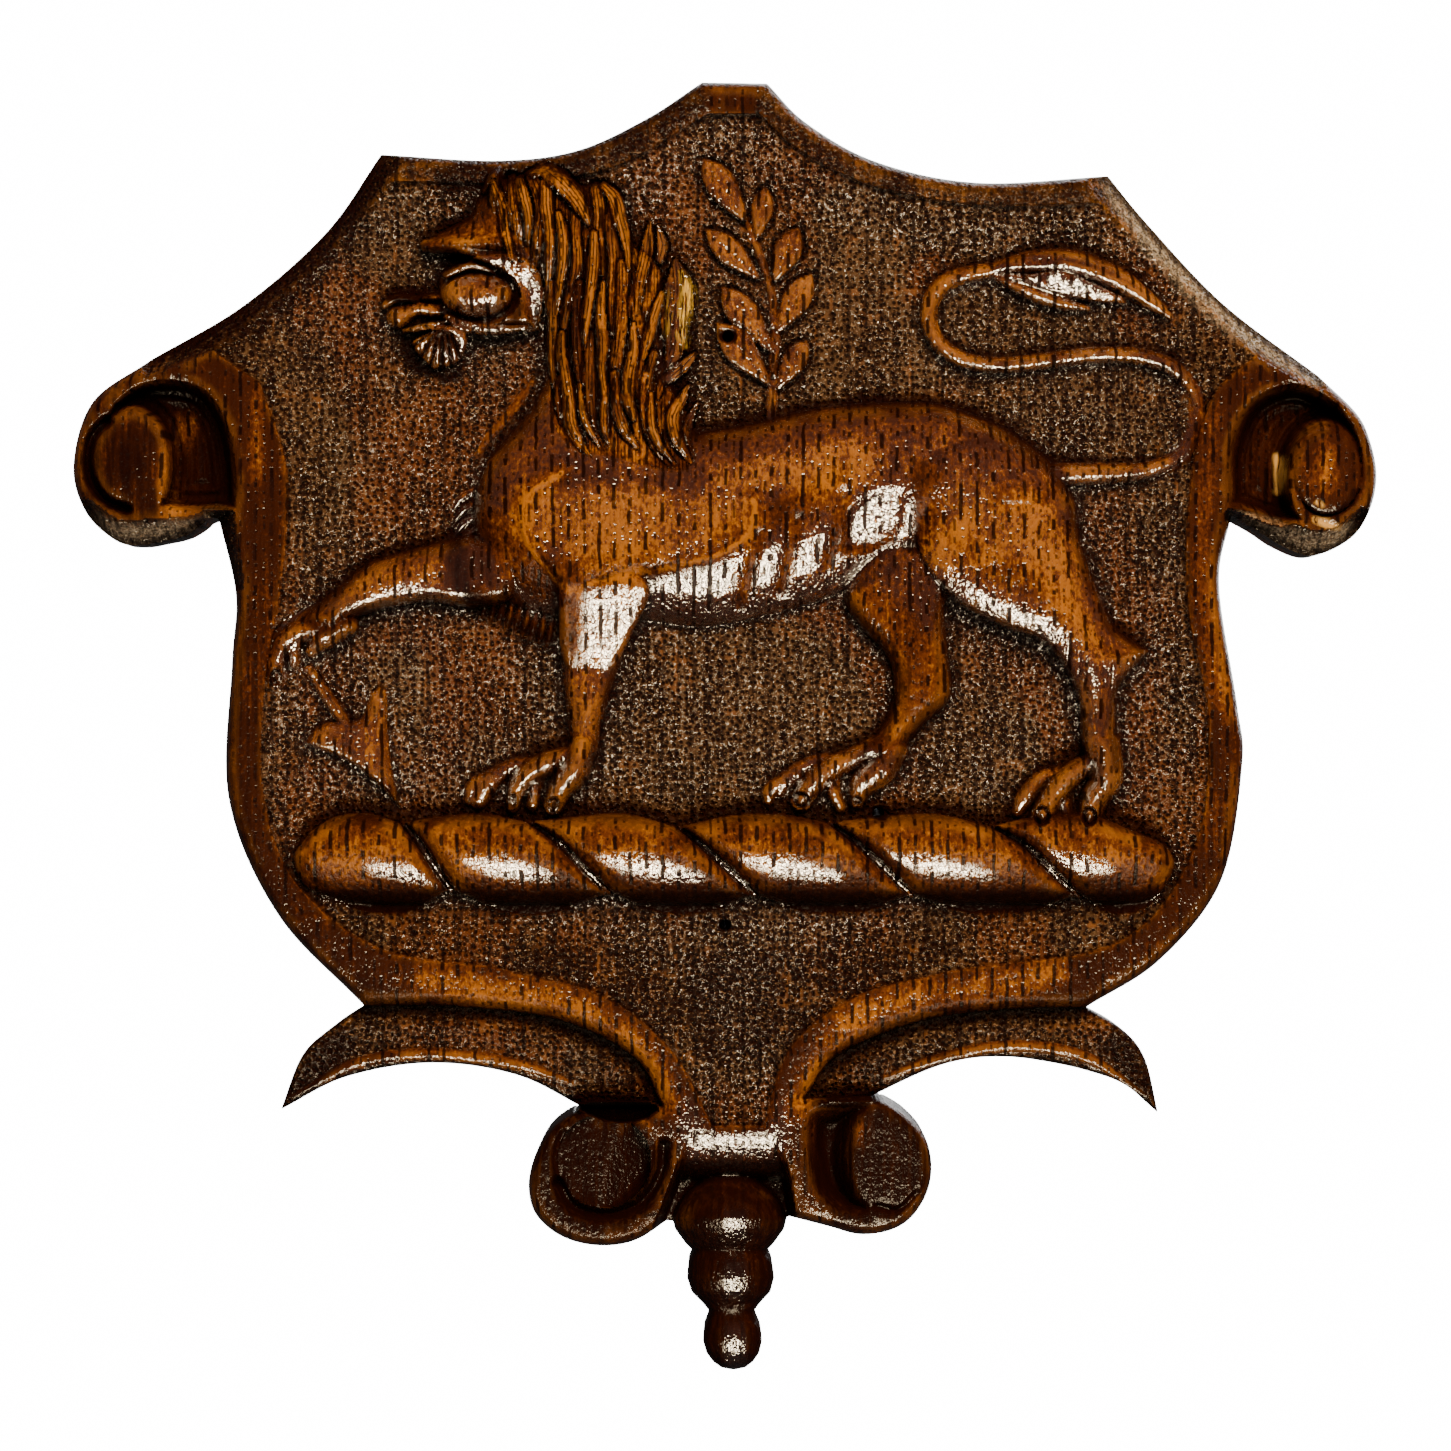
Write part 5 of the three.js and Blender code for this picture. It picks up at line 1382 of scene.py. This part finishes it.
class Shader:
    """Adds nodes to one material. Inputs are values or the sockets of other nodes."""

    def __init__(self, name):
        self.material = bpy.data.materials.new(name)
        self.material.use_nodes = True
        self.tree = self.material.node_tree
        self.tree.nodes.clear()

    def add(self, kind, inputs=None, **settings):
        node = self.tree.nodes.new(kind)
        for key, value in settings.items():
            setattr(node, key, value)
        for key, value in (inputs or {}).items():
            socket = node.inputs[key]
            if isinstance(value, bpy.types.NodeSocket):
                self.tree.links.new(value, socket)
            else:
                socket.default_value = value
        return node

    def math(self, operation, a, b=0.0):
        return self.add("ShaderNodeMath", {0: a, 1: b}, operation=operation).outputs[0]

    def plus(self, a, b):
        return self.math("ADD", a, b)

    def minus(self, a, b):
        return self.math("SUBTRACT", a, b)

    def times(self, a, b):
        return self.math("MULTIPLY", a, b)

    def over(self, a, b):
        return self.math("DIVIDE", a, b)

    def larger(self, a, b):
        return self.math("MAXIMUM", a, b)

    def rest(self, a):
        return self.math("SUBTRACT", 1.0, a)

    def mix(self, factor, a, b):
        return self.add("ShaderNodeMix", {0: factor, 6: a, 7: b}, data_type="RGBA").outputs[2]

    def band(self, value, low, high):
        """0 below low, 1 above high, soft between."""
        node = self.add("ShaderNodeMapRange", {0: value, 1: low, 2: high, 3: 0.0, 4: 1.0},
                        interpolation_type="SMOOTHSTEP")
        return node.outputs[0]

    def layer(self, name):
        return self.add("ShaderNodeAttribute", attribute_name=name).outputs["Fac"]

    def stretched(self, place, scale_x, scale_y, scale_z):
        """Positions in cells of the given size in millimetres."""
        scale = tuple(1 / (size * MM) for size in (scale_x, scale_y, scale_z))
        return self.add("ShaderNodeVectorMath", {0: place, 1: scale}, operation="MULTIPLY").outputs[0]

    def noise(self, place, size, detail=2.0, rough=0.5):
        inputs = {"Vector": self.stretched(place, *size), "Scale": 1.0, "Detail": detail, "Roughness": rough}
        return self.add("ShaderNodeTexNoise", inputs).outputs[0]


def pore_rows(s, x, z, warp, pitch, half, length, threshold):
    """Dark dashes in upright rows. The half width is a share of the pitch."""
    u = s.plus(s.over(x, pitch), warp)
    row = s.math("FLOOR", u)
    off = s.math("ABSOLUTE", s.minus(s.math("FRACT", u), 0.5))
    line = s.rest(s.band(off, half * 0.6, half * 1.3))
    seat = s.add("ShaderNodeCombineXYZ", {0: s.times(row, 13.7), 2: s.over(z, length)}).outputs[0]
    run = s.add("ShaderNodeTexNoise", {"Vector": seat, "Scale": 1.0, "Detail": 1.0}).outputs[0]
    return s.times(line, s.band(run, threshold, threshold + 0.05))


def hair_strokes(s, z):
    """Fine dark cuts that run along the locks of the mane."""
    comb = s.over(s.layer("comb"), 0.7)
    row = s.math("FLOOR", comb)
    off = s.math("ABSOLUTE", s.minus(s.math("FRACT", comb), 0.5))
    line = s.rest(s.band(off, 0.08, 0.26))
    seat = s.add("ShaderNodeCombineXYZ", {0: s.times(row, 7.3), 2: s.over(z, 4.5)}).outputs[0]
    run = s.add("ShaderNodeTexNoise", {"Vector": seat, "Scale": 1.0, "Detail": 1.0}).outputs[0]
    return s.times(s.times(line, s.band(run, 0.40, 0.50)), s.layer("mane"))


def oak():
    s = Shader("varnished_oak")
    place = s.add("ShaderNodeTexCoord").outputs["Object"]
    x, y, z = s.add("ShaderNodeSeparateXYZ", {0: s.stretched(place, 1, 1, 1)}).outputs
    front = s.band(s.times(s.add("ShaderNodeSeparateXYZ", {
        0: s.add("ShaderNodeNewGeometry").outputs["Normal"]}).outputs[1], -1.0), 0.10, 0.35)
    matted, worn, bare = s.times(s.layer("matted"), front), s.layer("worn"), s.layer("bare")
    stain_and_shade, hollow, broad, glow = s.layer("dark"), s.layer("hollow"), s.layer("broad"), s.layer("glow")

    # Upright grain: broad figure, streaks, and open pores in rows
    figure = s.noise(place, (24, 24, 50), 3, 0.55)
    blotch = s.noise(place, (7, 7, 10), 3, 0.6)
    streak = s.noise(place, (1.1, 1.1, 22), 3, 0.6)
    fine = s.noise(place, (0.4, 0.4, 4), 2, 0.6)
    crackle = s.noise(place, (0.8, 0.8, 1.1), 2, 0.6)
    dark = s.times(stain_and_shade, s.plus(0.92, s.times(s.band(streak, 0.62, 0.38), 0.22)))
    grit = s.noise(place, (0.6, 0.6, 0.8), 2, 0.65)
    warp = s.noise(place, (26, 26, 80), 1, 0.4)
    wobble = s.plus(warp, s.times(s.noise(place, (1.6, 1.6, 2.4), 1, 0.5), 0.22))
    long_pores = pore_rows(s, x, z, wobble, 3.1, 0.12, 3.6, 0.49)
    short_pores = pore_rows(s, x, z, wobble, 1.55, 0.17, 1.3, 0.52)
    pores = s.larger(long_pores, s.times(short_pores, 0.8))
    pores = s.times(pores, s.rest(s.times(s.band(dark, 0.60, 0.72), 0.6)))
    rows = s.math("SINE", s.times(s.plus(s.over(x, 3.1), warp), 2 * math.pi))

    # Punched ground, worn along its ridges
    flat = s.add("ShaderNodeCombineXYZ", {0: s.over(x, 1.25), 1: s.over(z, 1.25)}).outputs[0]
    punch = s.add("ShaderNodeTexVoronoi", {"Vector": flat, "Scale": 1.0, "Randomness": 0.85},
                  voronoi_dimensions="2D").outputs["Distance"]
    ridge = s.band(punch, 0.10, 0.42)
    level = s.math("ABSOLUTE", s.math("SINE", s.plus(s.times(z, 0.6), s.times(blotch, 5.0))))
    weft = s.larger(s.band(level, 0.86, 0.98), s.band(rows, 0.55, 0.95))
    rubbed = s.times(s.times(weft, s.band(blotch, 0.52, 0.70)), s.times(ridge, 0.7))

    # Bare colour of the carved wood and of the ground
    tone = s.plus(s.times(figure, 0.5), s.times(blotch, 0.5))
    tone = s.plus(tone, s.times(s.minus(streak, 0.5), 0.5))
    tone = s.plus(tone, s.times(s.minus(crackle, 0.5), 0.9))
    # The glow layer paints the wood lighter orange: thin varnish, and painted light
    tone = s.plus(tone, s.times(glow, 0.21))
    tone = s.minus(tone, s.times(dark, 0.28))
    wood = s.mix(s.band(tone, 0.36, 0.58), WOOD_DARK, WOOD_MID)
    wood = s.mix(s.band(tone, 0.56, 0.86), wood, WOOD_LIGHT)
    grain = s.plus(s.times(s.minus(grit, 0.5), 0.9), s.times(rows, -0.05))
    ground = s.mix(s.band(s.minus(figure, s.times(s.layer("olive"), 0.3)), 0.40, 0.56),
                   GROUND_LIGHT, GROUND_RED)
    ground = s.mix(s.band(s.plus(tone, grain), 0.34, 0.62), GROUND_DARK, ground)
    ground = s.mix(s.times(s.band(rows, 0.2, 0.9), 0.26), ground, DEEP)
    ground = s.mix(s.times(s.rest(ridge), 0.95), ground, DEEP)
    ground = s.mix(rubbed, ground, RUBBED)
    # Painted glints: small light flecks on the punched ground
    glint_fleck = s.noise(place, (0.75, 0.75, 0.5), 2, 0.55)
    ground = s.mix(s.times(s.band(glint_fleck, 0.60, 0.66), 0.42), ground, GLINT_FLECK)
    # Painted light on the pale stippled strips
    pale = s.times(s.layer("pale"), s.plus(0.25, s.times(s.band(grit, 0.42, 0.58), 0.6)))
    ground = s.mix(pale, ground, LIT_STIPPLE)

    # Painted shade in the hollows and from the dark layer, which also holds stain; wear on the edges,
    # gilding, chips and the back
    colour = s.mix(matted, wood, ground)
    sunk = s.times(s.band(hollow, 0.05, 0.6), s.minus(0.78, s.times(s.layer("mane"), 0.58)))
    colour = s.mix(sunk, colour, DEEP)
    colour = s.mix(s.times(s.band(broad, 0.2, 0.9), 0.3), colour, DEEP)
    colour = s.mix(s.times(s.band(dark, 0.45, 1.0), 0.92), colour, DEEP)
    edge = s.times(s.band(s.times(hollow, -1.0), 0.16, 0.7), 0.55)
    edge = s.times(edge, s.band(blotch, 0.36, 0.56))
    edge = s.times(edge, s.rest(dark))
    colour = s.mix(edge, colour, EDGE_WEAR)
    cut = s.minus(0.92, s.times(matted, 0.3))
    colour = s.mix(s.times(pores, cut), colour, PORE)
    colour = s.mix(s.times(worn, s.band(fine, 0.42, 0.58)), colour, GOLD)
    colour = s.mix(s.times(bare, s.band(streak, 0.34, 0.50)), colour, BARE_WOOD)
    behind = s.band(y, -0.9, -0.2)
    colour = s.mix(behind, colour, s.mix(streak, BACK_DARK, BACK_LIGHT))

    strokes = hair_strokes(s, z)
    # Painted shade in the fine cuts of the mane
    colour = s.mix(s.times(strokes, 0.85), colour, DEEP)

    # Roughness, fine relief and varnish
    rough = s.plus(0.30, s.times(matted, 0.20))
    rough = s.plus(rough, s.times(behind, 0.25))
    height = s.times(s.times(ridge, matted), 0.5)
    height = s.minus(height, s.times(pores, 0.07))
    height = s.minus(height, s.times(strokes, 0.12))
    height = s.plus(height, s.times(streak, 0.10))
    height = s.plus(height, s.times(fine, 0.05))
    height = s.plus(height, s.times(crackle, 0.28))
    height = s.plus(height, s.times(s.times(grit, matted), 0.6))
    bump = s.add("ShaderNodeBump", {"Strength": 1.0, "Distance": MM, "Height": height}).outputs[0]
    glint = s.times(s.band(ridge, 0.5, 1.0), s.band(grit, 0.48, 0.56))
    matt = s.times(matted, s.rest(s.times(glint, 0.6)))
    dull = s.larger(behind, s.larger(pores, matt))
    dull = s.larger(dull, s.layer("dull"))
    varnish = s.rest(dull)
    varnish = s.times(varnish, s.rest(s.times(dark, 0.5)))

    surface = s.add("ShaderNodeBsdfPrincipled", {
        "Base Color": colour, "Roughness": rough, "Normal": bump, "Specular IOR Level": 0.03,
        "Coat Weight": varnish, "Coat Roughness": 0.10, "Coat IOR": 2.1, "Coat Normal": bump,
    })
    s.add("ShaderNodeOutputMaterial", {"Surface": surface.outputs[0]})
    return s.material


relief.materials.clear()
relief.materials.append(oak())


# Camera, lights and floor

SENSOR = 36.0
CENTRE = Vector((-0.0003, 0, -0.0001))
FLOOR_RADIUS = 2.0
FLOOR_LEVEL = -1.25
FLOOR_COLOUR = (0.86, 0.86, 0.85, 1)
AMBIENT_COLOUR = (1.0, 0.98, 0.95, 1)
AMBIENT = 0.07
BACKDROP = 16.0


def camera():
    data = bpy.data.cameras.new("photo_camera")
    data.sensor_width = SENSOR
    data.lens = SENSOR * DISTANCE / VIEW_WIDTH
    shown = bpy.data.objects.new("photo_camera", data)
    shown.location = (CENTRE.x, -EDGE * MM - DISTANCE, CENTRE.z)
    shown.rotation_euler = (math.pi / 2, 0, 0)
    bpy.context.scene.collection.objects.link(shown)
    bpy.context.scene.camera = shown


def softbox(name, place, size, power, colour=(1, 1, 1), mirrored=True, soft=True):
    data = bpy.data.lights.new(name, "AREA")
    data.shape = "RECTANGLE"
    data.size, data.size_y = size
    data.energy = power
    data.color = colour
    lamp = bpy.data.objects.new(name, data)
    lamp.location = place
    lamp.rotation_euler = (Vector(place) - CENTRE).to_track_quat("Z", "Y").to_euler()
    lamp.visible_glossy = mirrored
    lamp.visible_diffuse = soft
    bpy.context.scene.collection.objects.link(lamp)


def floor_light():
    """A wide light that faces down at the floor. Only what the floor throws back reaches the plaque."""
    softbox("over_floor", (0, 0, -0.45), (2.2, 2.2), 16, mirrored=False)
    lamp = bpy.data.objects["over_floor"]
    lamp.rotation_euler = (0, 0, 0)
    lamp.visible_camera = False


def floor():
    """A pale round floor well below the hanging plaque."""
    data = bpy.data.meshes.new("floor")
    bm = bmesh.new()
    bmesh.ops.create_circle(bm, cap_ends=True, segments=96, radius=FLOOR_RADIUS)
    bm.to_mesh(data)
    bm.free()
    ground = bpy.data.objects.new("floor", data)
    ground.location = (0, 0, FLOOR_LEVEL)
    material = bpy.data.materials.new("pale_floor")
    material.use_nodes = True
    paint = material.node_tree.nodes["Principled BSDF"].inputs
    paint["Base Color"].default_value = FLOOR_COLOUR
    paint["Roughness"].default_value = 0.8
    data.materials.append(material)
    ground.visible_glossy = False
    bpy.context.scene.collection.objects.link(ground)


def surroundings():
    """A white background that the camera sees, with a dimmer light from all round."""
    world = bpy.data.worlds.new("studio")
    world.use_nodes = True
    nodes, links = world.node_tree.nodes, world.node_tree.links
    nodes.clear()
    ambient = nodes.new("ShaderNodeBackground")
    ambient.inputs[0].default_value = AMBIENT_COLOUR
    ambient.inputs[1].default_value = AMBIENT
    shown = nodes.new("ShaderNodeBackground")
    shown.inputs[0].default_value = (1, 1, 1, 1)
    shown.inputs[1].default_value = BACKDROP
    path = nodes.new("ShaderNodeLightPath")
    mix = nodes.new("ShaderNodeMixShader")
    output = nodes.new("ShaderNodeOutputWorld")
    links.new(path.outputs["Is Camera Ray"], mix.inputs[0])
    links.new(ambient.outputs[0], mix.inputs[1])
    links.new(shown.outputs[0], mix.inputs[2])
    links.new(mix.outputs[0], output.inputs[0])
    bpy.context.scene.world = world


camera()
softbox("key_below", (0.06, -1.18, -0.92), (0.58, 0.38), 100, (1, 0.80, 0.52), soft=False)
softbox("front_above", (0.3, -1.1, 0.7), (1.0, 1.0), 60, (1, 0.87, 0.68), mirrored=False)
softbox("side_left", (-0.85, 0.28, 0.50), (0.5, 0.5), 4, mirrored=False)
softbox("side_right", (0.85, 0.28, 0.50), (0.5, 0.5), 12, mirrored=False)
softbox("behind", (0.3, 0.9, 0.4), (0.8, 0.8), 12)
floor_light()
floor()
surroundings()
